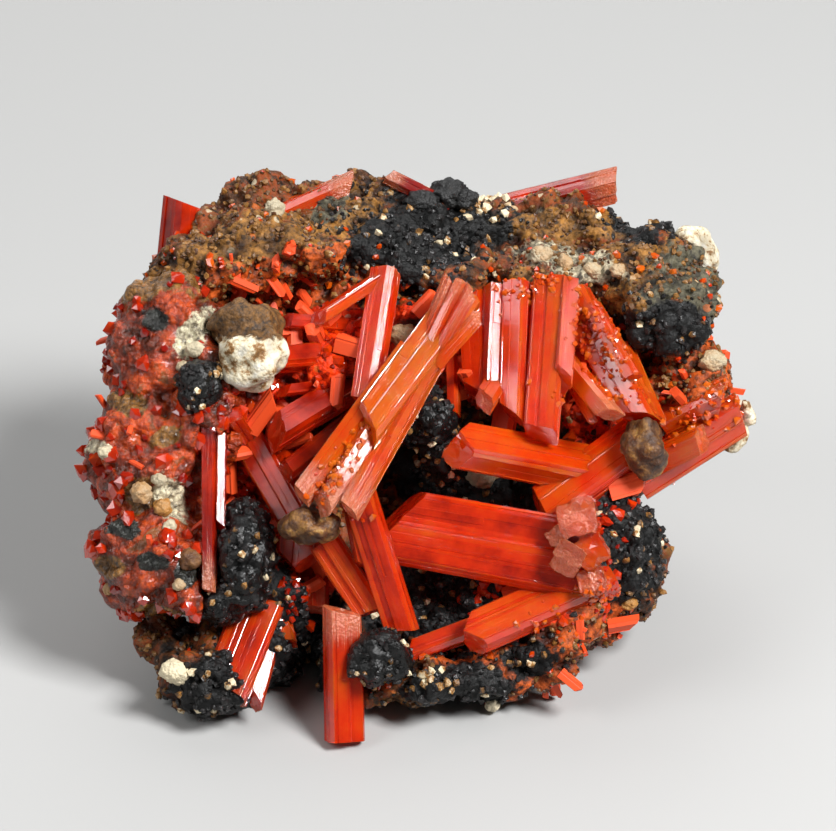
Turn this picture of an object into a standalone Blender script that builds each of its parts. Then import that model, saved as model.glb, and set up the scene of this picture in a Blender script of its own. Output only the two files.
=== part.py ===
"""A crocoite specimen: a chunk of brown gossan with an open vug full of long orange-red crystals.

Places are written in millimetres, in one of two frames. at_base counts from the middle of the
footprint: to the right, to the back and up. at_face counts from the middle of the open face of the
vug, which leans back: across to the right, up the slope and out of the hollow.
"""

import math
from collections import namedtuple

import bmesh
import bpy
from mathutils import Matrix, Vector, noise

# Driving dimensions
MM = 0.001
FACE_LEAN = math.radians(32.0)
FACE_MIDDLE = Vector((0.0, -2.2, 15.7)) * MM
GAP = 0.22 * MM
ROCK_GAP = 0.4 * MM
LINING = 1.3 * MM
UNDERSIDE = Vector((0.0, 0.0, 0.0))
UNDERCUT = 0.5 * MM
DOWN = Vector((0.0, 0.0, -1.0))

# How finely the lumps are fused, and how many triangles each kind of solid keeps
MATRIX_VOXEL = 0.7 * MM
LINING_VOXEL = 0.5 * MM
LUMP_VOXEL = 0.3 * MM
MATRIX_TRIANGLES = 3300
LINING_TRIANGLES = 500
VUG_TRIANGLES = 3600
OUTER_TRIANGLES = 140
CRUST_TRIANGLES = 850
LUMP_TRIANGLES = 110
THINNING_STEP = 7
WELDS = (0.06 * MM, 0.04 * MM, 0.02 * MM, 0.01 * MM)

# How rough each kind of rock is: the height and the wavelength of each layer of noise
MATRIX_LAYERS = ((1.6 * MM, 7.0 * MM), (1.3 * MM, 3.6 * MM), (0.8 * MM, 1.9 * MM))
LINING_LAYERS = ((0.8 * MM, 2.6 * MM), (0.5 * MM, 1.3 * MM))
CRUST_LAYERS = ((0.9 * MM, 2.8 * MM), (0.6 * MM, 1.4 * MM))
LUMP_LAYERS = ((0.5 * MM, 1.5 * MM), (0.3 * MM, 0.7 * MM))
BALL_SUBDIVISIONS = 4
CRUMB = 2.0 * MM**3

# The outline of a crystal's cross-section, for half its width and half its thickness: a stepped one
# for the wide crystals and a plain one for the narrow
STEPPED_SECTION = (
    (-1.0, -0.6), (-0.8, -1.0), (0.1, -1.0), (0.18, -0.84), (0.84, -0.84), (1.0, -0.5),
    (1.0, 0.5), (0.8, 0.95), (-0.8, 0.95), (-1.0, 0.5),
)
PLAIN_SECTION = ((-1.0, -0.35), (-0.66, -0.95), (0.8, -1.0), (1.0, 0.4), (0.66, 1.0), (-0.82, 0.92))
WIDE = 2.3 * MM
TAPER = 0.95

# How a crystal ends: cutting planes, each turned from square by two angles in degrees and set back
# by a share of the crystal's width
ENDS = {
    "broken": ((14.0, 6.0, 0.0),),
    "slant": ((36.0, 12.0, 0.0),),
    "chisel": ((44.0, 0.0, 0.1), (-36.0, 8.0, 0.1)),
}

FACE_TO_WORLD = Matrix.Rotation(math.radians(90.0) - FACE_LEAN, 4, "X")

Lump = namedtuple("Lump", "centre radii turn")
Prism = namedtuple("Prism", "foot tip width thickness roll end")


def at_base(right, back, up):
    """A point counted from the middle of the footprint, in millimetres."""
    return Vector((right, back, up)) * MM


def at_face(across, up, out):
    """A point counted from the middle of the leaning face, in millimetres."""
    return FACE_MIDDLE + FACE_TO_WORLD @ (Vector((across, up, out)) * MM)


def upright(centre, radii):
    return Lump(at_base(*centre), Vector(radii) * MM, Matrix.Identity(4))


def leaning(centre, radii, turn=0.0):
    """A lump in the face's frame, turned in the plane of the face by degrees."""
    tilt = FACE_TO_WORLD @ Matrix.Rotation(math.radians(turn), 4, "Z")
    return Lump(at_face(*centre), Vector(radii) * MM, tilt)


def prism(foot, tip, width, thickness, roll=0.0, end="broken"):
    """A crystal from its foot to its tip, rolled about its own length by degrees."""
    return Prism(at_face(*foot), at_face(*tip), width * MM, thickness * MM, math.radians(roll), end)


# The gossan body, then its ledges, its knobs and the rim below the vug
BODY = (
    upright((-1.0, 7.0, 12.0), (17.5, 11.5, 12.5)),
    upright((-11.5, 5.5, 11.5), (8.0, 9.5, 11.0)),
    upright((12.0, 9.0, 14.0), (10.5, 8.5, 10.5)),
    upright((-1.5, 4.0, 2.8), (15.0, 13.5, 6.0)),
    upright((-8.0, 12.6, 22.0), (12.0, 6.6, 7.8)),
    upright((7.5, 12.6, 21.6), (11.5, 6.4, 7.2)),
    leaning((19.0, 11.2, -2.0), (4.0, 4.0, 4.5)),
    leaning((15.6, 14.4, -5.0), (5.2, 2.8, 4.6)),
    leaning((8.6, 13.4, -1.2), (4.8, 1.9, 3.4), -8.0),
    leaning((1.4, 14.2, -0.6), (4.4, 2.3, 3.4), 6.0),
    leaning((-1.2, 17.2, -4.4), (4.6, 2.0, 3.4)),
    leaning((-5.2, 16.8, -3.0), (2.0, 2.0, 2.4)),
    leaning((-10.6, 14.4, -3.0), (6.4, 2.6, 4.6), 14.0),
    leaning((-16.0, 11.8, -4.8), (5.4, 4.0, 5.0), 20.0),
    leaning((2.6, -16.8, 2.4), (8.4, 2.2, 3.8), 10.0),
    leaning((-4.6, -16.4, 1.4), (2.6, 3.4, 3.2)),
    leaning((10.0, -13.8, 1.5), (4.8, 2.4, 4.2), 30.0),
    leaning((14.8, -8.4, 0.0), (2.7, 4.2, 4.4)),
    leaning((11.6, -8.2, -4.6), (6.0, 5.4, 4.6)),
    leaning((4.0, -13.6, -1.4), (9.0, 3.6, 4.0)),
    leaning((-15.6, -16.4, 2.6), (3.5, 3.5, 3.4)),
    leaning((-18.6, -14.4, 0.6), (2.4, 2.4, 2.6)),
    leaning((-12.0, -13.5, -0.4), (4.2, 4.0, 4.0)),
    leaning((21.0, 4.0, -3.8), (3.2, 4.2, 4.4)),
)

# Flat breaks where the chunk came off the wall: a point on each and the way it faces
BREAKS = (
    (at_base(0.0, 18.0, 14.0), Vector((0.05, 1.0, 0.1))),
    (at_base(-18.0, 13.0, 12.0), Vector((-0.8, 0.75, -0.1))),
    (at_base(18.5, 12.5, 10.0), Vector((0.8, 0.7, -0.35))),
    (at_base(17.0, 2.0, 3.4), Vector((0.75, -0.1, -0.75))),
    (at_base(0.0, 11.0, 27.6), Vector((0.08, -0.06, 1.0))),
)

VUG = (
    leaning((1.0, -1.0, 9.0), (13.4, 11.4, 15.0)),
    leaning((10.0, 3.0, 6.5), (8.2, 7.2, 9.0)),
    leaning((-8.5, 1.5, 8.0), (7.2, 8.6, 9.5)),
    leaning((-9.0, -18.0, 3.5), (2.0, 4.8, 6.5)),
)

# Where the wall of the vug is lined with massive crocoite, which the long crystals grow from
LINED = (
    leaning((4.0, 7.2, 1.0), (11.0, 4.2, 6.0)),
    leaning((-7.0, 7.4, -1.0), (6.0, 3.6, 6.0)),
    leaning((14.4, 3.0, 0.0), (4.0, 6.6, 6.0)),
    leaning((12.6, -6.0, 0.6), (3.4, 5.4, 5.0)),
    leaning((8.6, -11.6, 2.4), (5.0, 2.6, 3.6), 20.0),
    leaning((-12.6, -0.5, -1.0), (3.6, 7.0, 6.0)),
    leaning((-9.6, -9.0, 0.0), (3.4, 4.6, 4.2)),
)

VUG_CRYSTALS = (
    # The great slab across the lower half, and the etched ends beside it that face out
    prism((13.0, -8.4, 4.2), (-2.2, -5.7, 4.6), 5.9, 3.4, 0.0, "slant"),
    prism((12.3, -5.3, -2.0), (11.6, -5.1, 8.3), 3.1, 3.0, 12.0),
    prism((13.0, -7.8, -2.0), (12.6, -7.5, 7.9), 2.7, 2.8, 34.0),
    prism((11.4, -8.4, -1.0), (10.9, -8.1, 8.5), 2.6, 2.5, 60.0, "slant"),
    prism((13.4, -10.0, -1.0), (12.7, -9.7, 7.4), 2.3, 2.2, 15.0),
    prism((10.6, -6.6, 2.0), (10.2, -6.5, 7.5), 1.8, 1.6, 40.0, "slant"),
    # The blades under the slab
    prism((14.2, -9.4, 3.6), (3.0, -14.2, 6.2), 3.3, 2.2, 18.0, "chisel"),
    prism((7.6, -12.2, 2.4), (-0.8, -15.2, 4.6), 1.8, 1.3, 30.0, "slant"),
    # The long spray: its middle, the three columns of its lower end and the fan of its upper end
    prism((3.4, 11.2, 2.6), (-3.7, 1.6, 7.9), 2.9, 2.4, 14.0, "slant"),
    prism((-0.6, 7.2, 4.6), (-8.5, -3.5, 8.7), 1.7, 1.8, 24.0),
    prism((0.2, 6.8, 5.0), (-6.9, -4.1, 9.2), 1.7, 2.0, -12.0, "slant"),
    prism((1.0, 6.2, 5.0), (-5.0, -4.6, 9.0), 1.6, 1.9, 30.0),
    prism((0.0, 6.8, 4.6), (2.3, 12.5, 4.5), 0.9, 1.5, 20.0, "slant"),
    prism((0.6, 6.8, 5.0), (3.2, 12.3, 5.1), 0.8, 1.4, -25.0),
    prism((1.0, 6.6, 5.2), (3.9, 11.6, 5.4), 0.9, 1.4, 30.0, "slant"),
    prism((1.3, 6.2, 5.2), (4.7, 9.9, 5.8), 1.2, 1.4, 10.0, "chisel"),
    # The column that passes in front of the slab's end, and the wedge beside it
    prism((-5.2, -0.8, 7.0), (-1.2, -13.4, 5.6), 2.5, 2.0, 16.0),
    prism((-5.2, -2.2, 6.4), (-3.9, -8.8, 5.6), 1.5, 1.6, -10.0, "slant"),
    prism((-6.9, -7.0, 4.2), (-3.5, -12.2, 5.0), 2.4, 1.6, 10.0),
    # The upright columns right of the middle
    prism((10.0, 12.4, 0.4), (9.1, 1.0, 4.9), 2.7, 2.8, 8.0),
    prism((11.2, 12.2, 0.8), (10.6, 4.9, 4.2), 1.6, 2.6, -12.0, "slant"),
    prism((7.5, 12.2, 0.4), (7.1, 2.3, 3.9), 2.0, 2.2, 24.0, "slant"),
    prism((5.8, 12.0, 0.2), (5.4, 4.4, 3.0), 1.7, 1.8, -20.0),
    prism((4.0, 11.6, -0.4), (4.4, 4.0, 2.4), 2.1, 1.8, 16.0, "slant"),
    prism((2.6, 8.4, -1.0), (2.7, 2.4, 2.6), 0.9, 1.0, 30.0),
    prism((7.0, 6.6, -1.0), (4.9, 3.4, 5.2), 1.9, 1.5, 20.0, "slant"),
    # The beam that lies below them
    prism((13.4, -1.8, 0.6), (2.0, 0.4, 6.4), 3.3, 3.0, 40.0, "chisel"),
    # The blades and rods on the right
    prism((11.6, 11.4, -0.8), (16.4, 2.2, 3.6), 2.7, 2.2, 16.0, "slant"),
    prism((13.0, 10.6, 1.2), (16.0, 5.2, 4.3), 1.2, 1.3, 30.0),
    prism((10.8, 6.8, 0.4), (14.2, 2.4, 6.2), 1.6, 1.6, 28.0, "slant"),
    prism((10.9, 5.6, 0.6), (13.0, 1.8, 4.4), 0.8, 0.9, 10.0, "chisel"),
    prism((15.2, 7.4, 0.0), (17.4, 2.0, 3.3), 1.8, 1.7, 35.0),
    prism((17.0, 0.8, 0.8), (9.2, -4.8, 2.8), 3.9, 2.7, 34.0),
    # The beams and blades on the left
    prism((-2.4, 13.2, 0.4), (-3.9, 3.3, 4.4), 2.0, 1.9, 36.0),
    prism((-2.0, 13.2, 0.0), (-7.4, 9.6, 2.6), 1.1, 2.0, 0.0, "slant"),
    prism((-3.4, 9.0, -2.4), (-9.7, 9.4, 2.3), 1.3, 1.3, 10.0),
    prism((-3.2, 7.2, -2.6), (-10.6, 6.5, 3.2), 1.9, 2.0, 26.0),
    prism((-3.6, 5.0, -2.6), (-10.0, 4.2, 2.8), 1.0, 1.2, 10.0, "slant"),
    prism((-2.8, 6.0, -3.4), (-10.5, 1.1, 4.2), 2.4, 2.6, 22.0, "slant"),
    prism((-4.2, 2.6, -3.0), (-9.9, -1.9, 3.2), 1.7, 1.8, 12.0),
    prism((-14.4, 3.6, 0.4), (-9.3, -5.3, 3.3), 2.5, 1.5, 4.0),
    prism((-12.2, 4.4, -2.4), (-8.0, -5.6, 1.6), 2.2, 1.6, 22.0),
    prism((-12.0, -0.4, -0.6), (-13.7, 2.4, 4.7), 1.5, 1.3, 0.0),
    # The short ones at the lower left
    prism((-8.6, -3.8, 1.6), (-9.1, -9.4, 3.8), 3.3, 1.8, 8.0, "chisel"),
    prism((-8.0, -6.4, -0.6), (-7.7, -12.1, 2.4), 2.3, 1.4, 6.0),
    prism((-9.3, -8.0, -0.4), (-9.3, -12.3, 2.9), 0.8, 0.9, 20.0),
    prism((-11.4, -8.0, -0.6), (-9.6, -14.6, 2.8), 1.4, 1.6, 4.0),
    prism((-12.4, -8.2, -0.6), (-10.8, -14.8, 2.6), 1.4, 1.6, 24.0, "slant"),
)

# Crystals that grew outside the vug, each group in one piece
OUTER_CRYSTALS = {
    "front_crystal": (prism((-5.4, -21.6, 5.4), (-5.6, -12.0, 6.0), 2.8, 2.6, 15.0),),
    "left_twin_crystal": (
        prism((-15.4, 1.4, 5.0), (-15.3, -10.6, 6.4), 1.1, 1.5, 10.0),
        prism((-14.6, 1.0, 4.6), (-14.6, -5.8, 5.9), 0.9, 1.2, -10.0, "slant"),
    ),
    "lower_left_crystal": (
        prism((-11.2, -10.4, 2.0), (-14.2, -18.0, 5.4), 3.8, 2.0, 12.0),
        prism((-10.6, -12.4, 2.4), (-12.2, -18.6, 4.8), 1.8, 1.5, -20.0, "slant"),
    ),
    "right_edge_crystals": (
        prism((16.4, -2.5, -1.6), (24.3, 2.5, -0.8), 3.2, 2.8, 20.0),
        prism((18.6, 1.8, -1.0), (22.8, 3.8, 0.6), 2.6, 2.4, 36.0, "slant"),
        prism((18.0, -1.0, -0.6), (21.2, 0.6, 1.4), 2.2, 2.0, 10.0),
    ),
    "rear_left_crystal": (prism((-18.6, 10.4, -7.4), (-17.8, 18.6, -6.6), 3.3, 2.8, 40.0),),
    "rear_right_crystal": (prism((6.6, 18.0, -10.6), (15.3, 20.2, -10.0), 2.5, 2.8, 30.0),),
    "rear_pink_crystal": (prism((-11.2, 17.2, -6.2), (-5.2, 20.0, -7.2), 2.0, 2.4, 20.0, "slant"),),
    "rear_grey_crystal": (prism((2.4, 18.2, -7.6), (-2.4, 20.6, -7.6), 1.3, 1.8, 20.0),),
}

CRUST = (
    leaning((-18.4, 6.8, -1.0), (5.0, 6.2, 5.0)),
    leaning((-19.6, -1.0, 0.5), (4.6, 6.2, 5.2)),
    leaning((-18.8, -8.2, 1.5), (5.4, 4.3, 5.0)),
    leaning((-15.6, 3.0, 2.6), (2.6, 5.5, 3.4)),
    leaning((-16.6, -10.2, 4.4), (3.6, 2.3, 2.4)),
)

LUMPS = {
    "clay_knob": ("clay", (leaning((-12.2, 6.7, 5.0), (2.4, 2.4, 2.3)), leaning((-12.9, 9.0, 3.6), (2.7, 1.6, 2.4)))),
    "clay_tip_right": ("clay", (leaning((23.6, 1.9, -2.2), (1.4, 2.0, 2.0)),)),
    "clay_cap_rear": ("clay", (leaning((21.0, 14.2, -6.4), (1.7, 2.3, 2.4)),)),
    "ochre_knob_right": ("ochre", (leaning((16.9, 0.1, 3.6), (1.6, 2.4, 2.2)),)),
    "ochre_knob_front": ("ochre", (leaning((-7.9, -5.7, 6.8), (2.1, 1.25, 2.0)),)),
    "manganese_left": (
        "manganese",
        (leaning((-13.0, -8.0, 4.6), (2.1, 4.2, 3.0)), leaning((-14.4, -11.5, 4.4), (1.8, 1.5, 2.4))),
    ),
    "manganese_upper_left": ("manganese", (leaning((-16.0, 4.4, 5.4), (1.5, 1.7, 1.9)),)),
    "manganese_centre": (
        "manganese",
        (leaning((0.8, 1.9, 2.0), (2.0, 2.0, 3.0)), leaning((2.0, -0.9, 1.4), (1.2, 1.8, 2.6))),
    ),
    "manganese_front": (
        "manganese",
        (leaning((-2.7, -15.4, 6.4), (2.1, 1.9, 2.0)), leaning((-4.2, -16.4, 6.4), (1.3, 0.9, 1.4))),
    ),
}


def material(name, colour, roughness):
    made = bpy.data.materials.new(name)
    made.use_nodes = True
    shader = made.node_tree.nodes["Principled BSDF"]
    shader.inputs["Base Color"].default_value = (*colour, 1.0)
    shader.inputs["Roughness"].default_value = roughness
    shader.inputs["Metallic"].default_value = 0.0
    made.diffuse_color = (*colour, 1.0)
    return made


def make_materials():
    return {
        "crocoite": material("crocoite", (0.72, 0.07, 0.01), 0.15),
        "crust": material("crust", (0.42, 0.06, 0.015), 0.3),
        "gossan": material("gossan", (0.16, 0.07, 0.025), 0.8),
        "manganese": material("manganese", (0.012, 0.013, 0.014), 0.35),
        "clay": material("clay", (0.62, 0.5, 0.3), 0.8),
        "ochre": material("ochre", (0.34, 0.19, 0.04), 0.85),
    }


def clear_scene():
    for obj in list(bpy.data.objects):
        bpy.data.objects.remove(obj, do_unlink=True)


def link(name, mesh):
    obj = bpy.data.objects.new(name, mesh)
    bpy.context.scene.collection.objects.link(obj)
    return obj


def bake(obj):
    """Applies an object's modifiers to its mesh."""
    graph = bpy.context.evaluated_depsgraph_get()
    baked = bpy.data.meshes.new_from_object(obj.evaluated_get(graph))
    obj.modifiers.clear()
    spent, obj.data = obj.data, baked
    bpy.data.meshes.remove(spent)
    return obj


def join_lumps(name, lumps):
    """One object that holds a ball for each lump, not yet fused."""
    bm = bmesh.new()
    for lump in lumps:
        place = Matrix.Translation(lump.centre) @ lump.turn @ Matrix.Diagonal(lump.radii).to_4x4()
        bmesh.ops.create_icosphere(bm, subdivisions=BALL_SUBDIVISIONS, radius=1.0, matrix=place)
    mesh = bpy.data.meshes.new(name)
    bm.to_mesh(mesh)
    bm.free()
    return link(name, mesh)


def fuse(obj, voxel):
    skin = obj.modifiers.new("skin", "REMESH")
    skin.mode = "VOXEL"
    skin.voxel_size = voxel
    return bake(obj)


def is_closed(mesh):
    bm = bmesh.new()
    bm.from_mesh(mesh)
    closed = all(edge.is_manifold for edge in bm.edges) and all(vertex.is_manifold for vertex in bm.verts)
    bm.free()
    return closed


def thin_out(obj, triangles):
    """Collapses a skin to about this many triangles. A collapse can fold an edge open, so it tries
    again with a few more triangles, and leaves the skin as it was if none stays closed."""
    whole = obj.data.copy()
    faces = sum(len(face.vertices) - 2 for face in whole.polygons)
    for target in range(triangles, triangles + 10 * THINNING_STEP, THINNING_STEP):
        obj.data = whole.copy()
        fewer = obj.modifiers.new("fewer", "DECIMATE")
        fewer.ratio = min(1.0, target / faces)
        fewer.use_collapse_triangulate = True
        bake(obj)
        if is_closed(obj.data):
            return obj
    obj.data = whole
    return obj


def weld(obj):
    """Closes up the tiny edges and slivers that a cut leaves near a corner, by the most that keeps
    the mesh closed."""
    for distance in WELDS:
        bm = bmesh.new()
        bm.from_mesh(obj.data)
        bmesh.ops.dissolve_degenerate(bm, dist=distance, edges=bm.edges)
        bmesh.ops.triangulate(bm, faces=bm.faces)
        welded = bpy.data.meshes.new(obj.name)
        bm.to_mesh(welded)
        bm.free()
        if is_closed(welded):
            obj.data = welded
            return obj
    return obj


def gnarl(obj, layers, seed):
    """Pushes a skin in and out by ridged noise, in layers."""
    start = Vector((seed * 7.31, seed * 3.17, seed * 5.53))
    moves = []
    for vertex in obj.data.vertices:
        height = 0.0
        for tall, long in layers:
            roll = noise.noise(vertex.co / long + start)
            ridge = abs(noise.noise(vertex.co / long * 1.6 - start))
            height += tall * (roll - 1.3 * ridge + 0.2)
        moves.append(vertex.normal * height)
    for vertex, move in zip(obj.data.vertices, moves):
        vertex.co += move
    return obj


def boolean(obj, other, operation, solver="EXACT"):
    step = obj.modifiers.new("step", "BOOLEAN")
    step.operation = operation
    step.object = other
    step.solver = solver
    return bake(obj)


def grown(obj, margin):
    """A copy whose skin stands proud by the margin."""
    bm = bmesh.new()
    bm.from_mesh(obj.data)
    bmesh.ops.recalc_face_normals(bm, faces=bm.faces)
    bm.normal_update()
    for vertex, factor in [(vertex, vertex.calc_shell_factor()) for vertex in bm.verts]:
        vertex.co += vertex.normal * margin * min(factor, 2.5)
    mesh = bpy.data.meshes.new(obj.name + "_grown")
    bm.to_mesh(mesh)
    bm.free()
    return link(obj.name + "_grown", mesh)


def islands(bm):
    """The separate bodies of a mesh, each as a list of its faces."""
    left = set(bm.faces)
    found = []
    while left:
        island = [left.pop()]
        for face in island:
            for edge in face.edges:
                for other in edge.link_faces:
                    if other in left:
                        left.remove(other)
                        island.append(other)
        found.append(island)
    return found


def volume(faces):
    total = 0.0
    for face in faces:
        first = face.verts[0].co
        for second, third in zip(face.verts[1:-1], face.verts[2:]):
            total += first.dot(second.co.cross(third.co)) / 6.0
    return total


def keep_biggest(obj):
    """Drops the crumbs that a cut leaves, and fails if it would drop more than a crumb."""
    bm = bmesh.new()
    bm.from_mesh(obj.data)
    bodies = sorted(islands(bm), key=volume)
    if not bodies:
        raise RuntimeError(f"{obj.name}: nothing is left of it")
    spare = [face for body in bodies[:-1] for face in body]
    if volume(spare) > CRUMB:
        raise RuntimeError(f"{obj.name}: a loose piece is bigger than a crumb")
    bmesh.ops.delete(bm, geom=spare, context="FACES")
    bm.to_mesh(obj.data)
    bm.free()
    return obj


def boxes_meet(one, other):
    spans = []
    for obj in (one, other):
        corners = [vertex.co for vertex in obj.data.vertices]
        spans.append([(min(c[k] for c in corners), max(c[k] for c in corners)) for k in range(3)])
    return all(a[0] < b[1] and b[0] < a[1] for a, b in zip(*spans))


def clear_of(obj, neighbours, gap):
    """Carves an object so that it stands off every neighbour by the gap. A grown copy's skin may
    cross itself in a pit, where the exact solver leaves open edges."""
    for neighbour in neighbours:
        if boxes_meet(obj, neighbour):
            cutter = grown(neighbour, gap)
            boolean(obj, cutter, "DIFFERENCE", solver="MANIFOLD")
            bpy.data.objects.remove(cutter)
            keep_biggest(obj)
    return obj


def slice_off(bm, point, facing):
    """Cuts a mesh off flat at a point, on the side that the cut faces, and closes it."""
    everything = bm.verts[:] + bm.edges[:] + bm.faces[:]
    cut = bmesh.ops.bisect_plane(bm, geom=everything, plane_co=point, plane_no=facing, clear_outer=True)
    rim = [item for item in cut["geom_cut"] if isinstance(item, bmesh.types.BMEdge)]
    if rim:
        bmesh.ops.triangle_fill(bm, edges=rim, use_beauty=True, normal=facing)


def clip(obj, point, facing):
    bm = bmesh.new()
    bm.from_mesh(obj.data)
    slice_off(bm, point, facing)
    bm.to_mesh(obj.data)
    bm.free()


def rock(name, lumps, neighbours, voxel, triangles, layers, seed):
    """A lump of rock that fits between its neighbours, clear of them by at least the gap."""
    obj = fuse(join_lumps(name, lumps), voxel)
    gnarl(obj, layers, seed)
    fuse(obj, voxel)
    thin_out(obj, 4 * triangles)
    clear_of(obj, neighbours, ROCK_GAP)
    fuse(obj, voxel)
    keep_biggest(obj)
    return thin_out(obj, triangles)


def make_matrix():
    """The gossan: a lumpy body with flat breaks behind, the vug carved out of its leaning face and a
    level underside."""
    obj = fuse(join_lumps("gossan_matrix", BODY), MATRIX_VOXEL)
    for point, facing in BREAKS:
        clip(obj, point, facing)
    hollow = fuse(join_lumps("hollow", VUG), MATRIX_VOXEL)
    boolean(obj, hollow, "DIFFERENCE")
    bpy.data.objects.remove(hollow)
    fuse(obj, MATRIX_VOXEL)
    gnarl(obj, MATRIX_LAYERS, 3)
    fuse(obj, MATRIX_VOXEL)
    clip(obj, UNDERSIDE - Vector((0.0, 0.0, UNDERCUT)), DOWN)
    keep_biggest(obj)
    thin_out(obj, MATRIX_TRIANGLES)
    clip(obj, UNDERSIDE, DOWN)
    return weld(obj)


def crystal_frame(shape):
    """A crystal's own axes: X across its width, Y through its thickness, Z along it."""
    along = (shape.tip - shape.foot).normalized()
    out = FACE_TO_WORLD.to_3x3() @ Vector((0.0, 0.0, 1.0))
    if abs(along.dot(out)) > 0.9:
        out = FACE_TO_WORLD.to_3x3() @ Vector((0.0, 1.0, 0.0))
    side = along.cross(out).normalized()
    through = along.cross(side)
    axes = Matrix((side, through, along)).transposed().to_4x4()
    return Matrix.Translation(shape.foot) @ axes @ Matrix.Rotation(shape.roll, 4, "Z")


def crystal_body(name, shape):
    """One striated prism, closed at both ends."""
    place = crystal_frame(shape)
    length = (shape.tip - shape.foot).length
    overrun = max(shape.width, shape.thickness)
    section = STEPPED_SECTION if shape.width >= WIDE else PLAIN_SECTION
    bm = bmesh.new()
    rings = []
    for height, size in ((0.0, 1.0), (length + overrun, TAPER)):
        ring = []
        for x, y in section:
            point = Vector((x * shape.width / 2 * size, y * shape.thickness / 2 * size, height))
            ring.append(bm.verts.new(place @ point))
        rings.append(ring)
    low, high = rings
    for index in range(len(section)):
        after = (index + 1) % len(section)
        bm.faces.new((low[index], low[after], high[after], high[index]))
    bm.faces.new(list(reversed(low)))
    bm.faces.new(high)
    bmesh.ops.recalc_face_normals(bm, faces=bm.faces)
    for about_thickness, about_width, back in ENDS[shape.end]:
        turn = Matrix.Rotation(math.radians(about_thickness), 3, "Y")
        turn = turn @ Matrix.Rotation(math.radians(about_width), 3, "X")
        facing = place.to_3x3() @ turn @ Vector((0.0, 0.0, 1.0))
        slice_off(bm, place @ Vector((0.0, 0.0, length - back * shape.width)), facing)
    mesh = bpy.data.meshes.new(name)
    bm.to_mesh(mesh)
    bm.free()
    return link(name, mesh)


def add_crystals(obj, shapes):
    """Joins crystals to what they grow from."""
    for shape in shapes:
        branch = crystal_body("branch", shape)
        boolean(obj, branch, "UNION")
        bpy.data.objects.remove(branch)
    return obj


def make_lining(matrix):
    """The massive crocoite on the wall of the vug, as thick as LINING."""
    obj = fuse(grown(matrix, LINING), LINING_VOXEL)
    obj.name = "vug_crystals"
    patches = fuse(join_lumps("patches", LINED), LINING_VOXEL)
    boolean(obj, patches, "INTERSECT")
    bpy.data.objects.remove(patches)
    fuse(obj, LINING_VOXEL)
    gnarl(obj, LINING_LAYERS, 7)
    fuse(obj, LINING_VOXEL)
    keep_biggest(obj)
    return thin_out(obj, LINING_TRIANGLES)


def finish(obj, look):
    obj.data.materials.clear()
    obj.data.materials.append(look)
    for face in obj.data.polygons:
        face.material_index = 0
        face.use_smooth = False


def main():
    clear_scene()
    looks = make_materials()
    matrix = make_matrix()
    finish(matrix, looks["gossan"])

    crystals = add_crystals(make_lining(matrix), VUG_CRYSTALS)
    clear_of(crystals, [matrix], GAP)
    weld(thin_out(crystals, VUG_TRIANGLES))
    finish(crystals, looks["crocoite"])

    built = [matrix, crystals]
    for name, shapes in OUTER_CRYSTALS.items():
        crystal = add_crystals(crystal_body(name, shapes[0]), shapes[1:])
        clip(crystal, UNDERSIDE, DOWN)
        clear_of(crystal, [matrix], GAP)
        clear_of(crystal, built[1:], ROCK_GAP)
        weld(thin_out(crystal, OUTER_TRIANGLES))
        finish(crystal, looks["crocoite"])
        built.append(crystal)

    for seed, (name, (look, lumps)) in enumerate(LUMPS.items(), 11):
        lump = rock(name, lumps, built, LUMP_VOXEL, LUMP_TRIANGLES, LUMP_LAYERS, seed)
        finish(lump, looks[look])
        built.append(lump)

    crust = rock("left_crust", CRUST, built, LUMP_VOXEL, CRUST_TRIANGLES, CRUST_LAYERS, 5)
    finish(crust, looks["crust"])


if __name__ == "__main__":
    main()
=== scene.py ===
"""A crocoite specimen: orange-red crystals in the open vug of a brown gossan chunk.

Laid out as an add-on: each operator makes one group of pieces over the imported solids, and main
runs them in order. Places on the open face of the vug are in millimetres: across to the right, up
the slope of the face and out of the hollow.
"""

import math
import random
from collections import namedtuple

import bmesh
import bpy
import numpy as np
from mathutils import Matrix, Vector, geometry, noise


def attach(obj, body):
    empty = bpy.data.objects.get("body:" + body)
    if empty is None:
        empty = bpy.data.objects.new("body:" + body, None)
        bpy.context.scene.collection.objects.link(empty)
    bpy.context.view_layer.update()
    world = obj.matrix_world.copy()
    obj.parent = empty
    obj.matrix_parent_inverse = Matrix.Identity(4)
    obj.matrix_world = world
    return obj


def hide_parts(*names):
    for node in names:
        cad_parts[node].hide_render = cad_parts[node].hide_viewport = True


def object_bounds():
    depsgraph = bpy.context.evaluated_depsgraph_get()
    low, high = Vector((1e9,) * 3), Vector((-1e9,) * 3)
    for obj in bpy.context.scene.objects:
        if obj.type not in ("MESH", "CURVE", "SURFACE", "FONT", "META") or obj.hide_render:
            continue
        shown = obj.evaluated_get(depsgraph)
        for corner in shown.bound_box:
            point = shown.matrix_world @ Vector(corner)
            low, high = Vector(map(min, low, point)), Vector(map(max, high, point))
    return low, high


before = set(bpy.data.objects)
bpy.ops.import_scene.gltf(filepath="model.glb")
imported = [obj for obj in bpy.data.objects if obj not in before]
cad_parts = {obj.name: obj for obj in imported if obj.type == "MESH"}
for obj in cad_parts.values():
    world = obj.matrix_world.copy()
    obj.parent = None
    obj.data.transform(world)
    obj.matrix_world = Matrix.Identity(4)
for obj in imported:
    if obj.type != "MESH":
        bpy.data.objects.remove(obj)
CAD_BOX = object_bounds()

bl_info = {
    "name": "Crocoite specimen",
    "version": (1, 0, 0),
    "blender": (4, 5, 0),
    "location": "3D View > Sidebar > Crocoite",
    "description": "Orange-red crystals in the open vug of a brown gossan chunk",
    "category": "Object",
}

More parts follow.
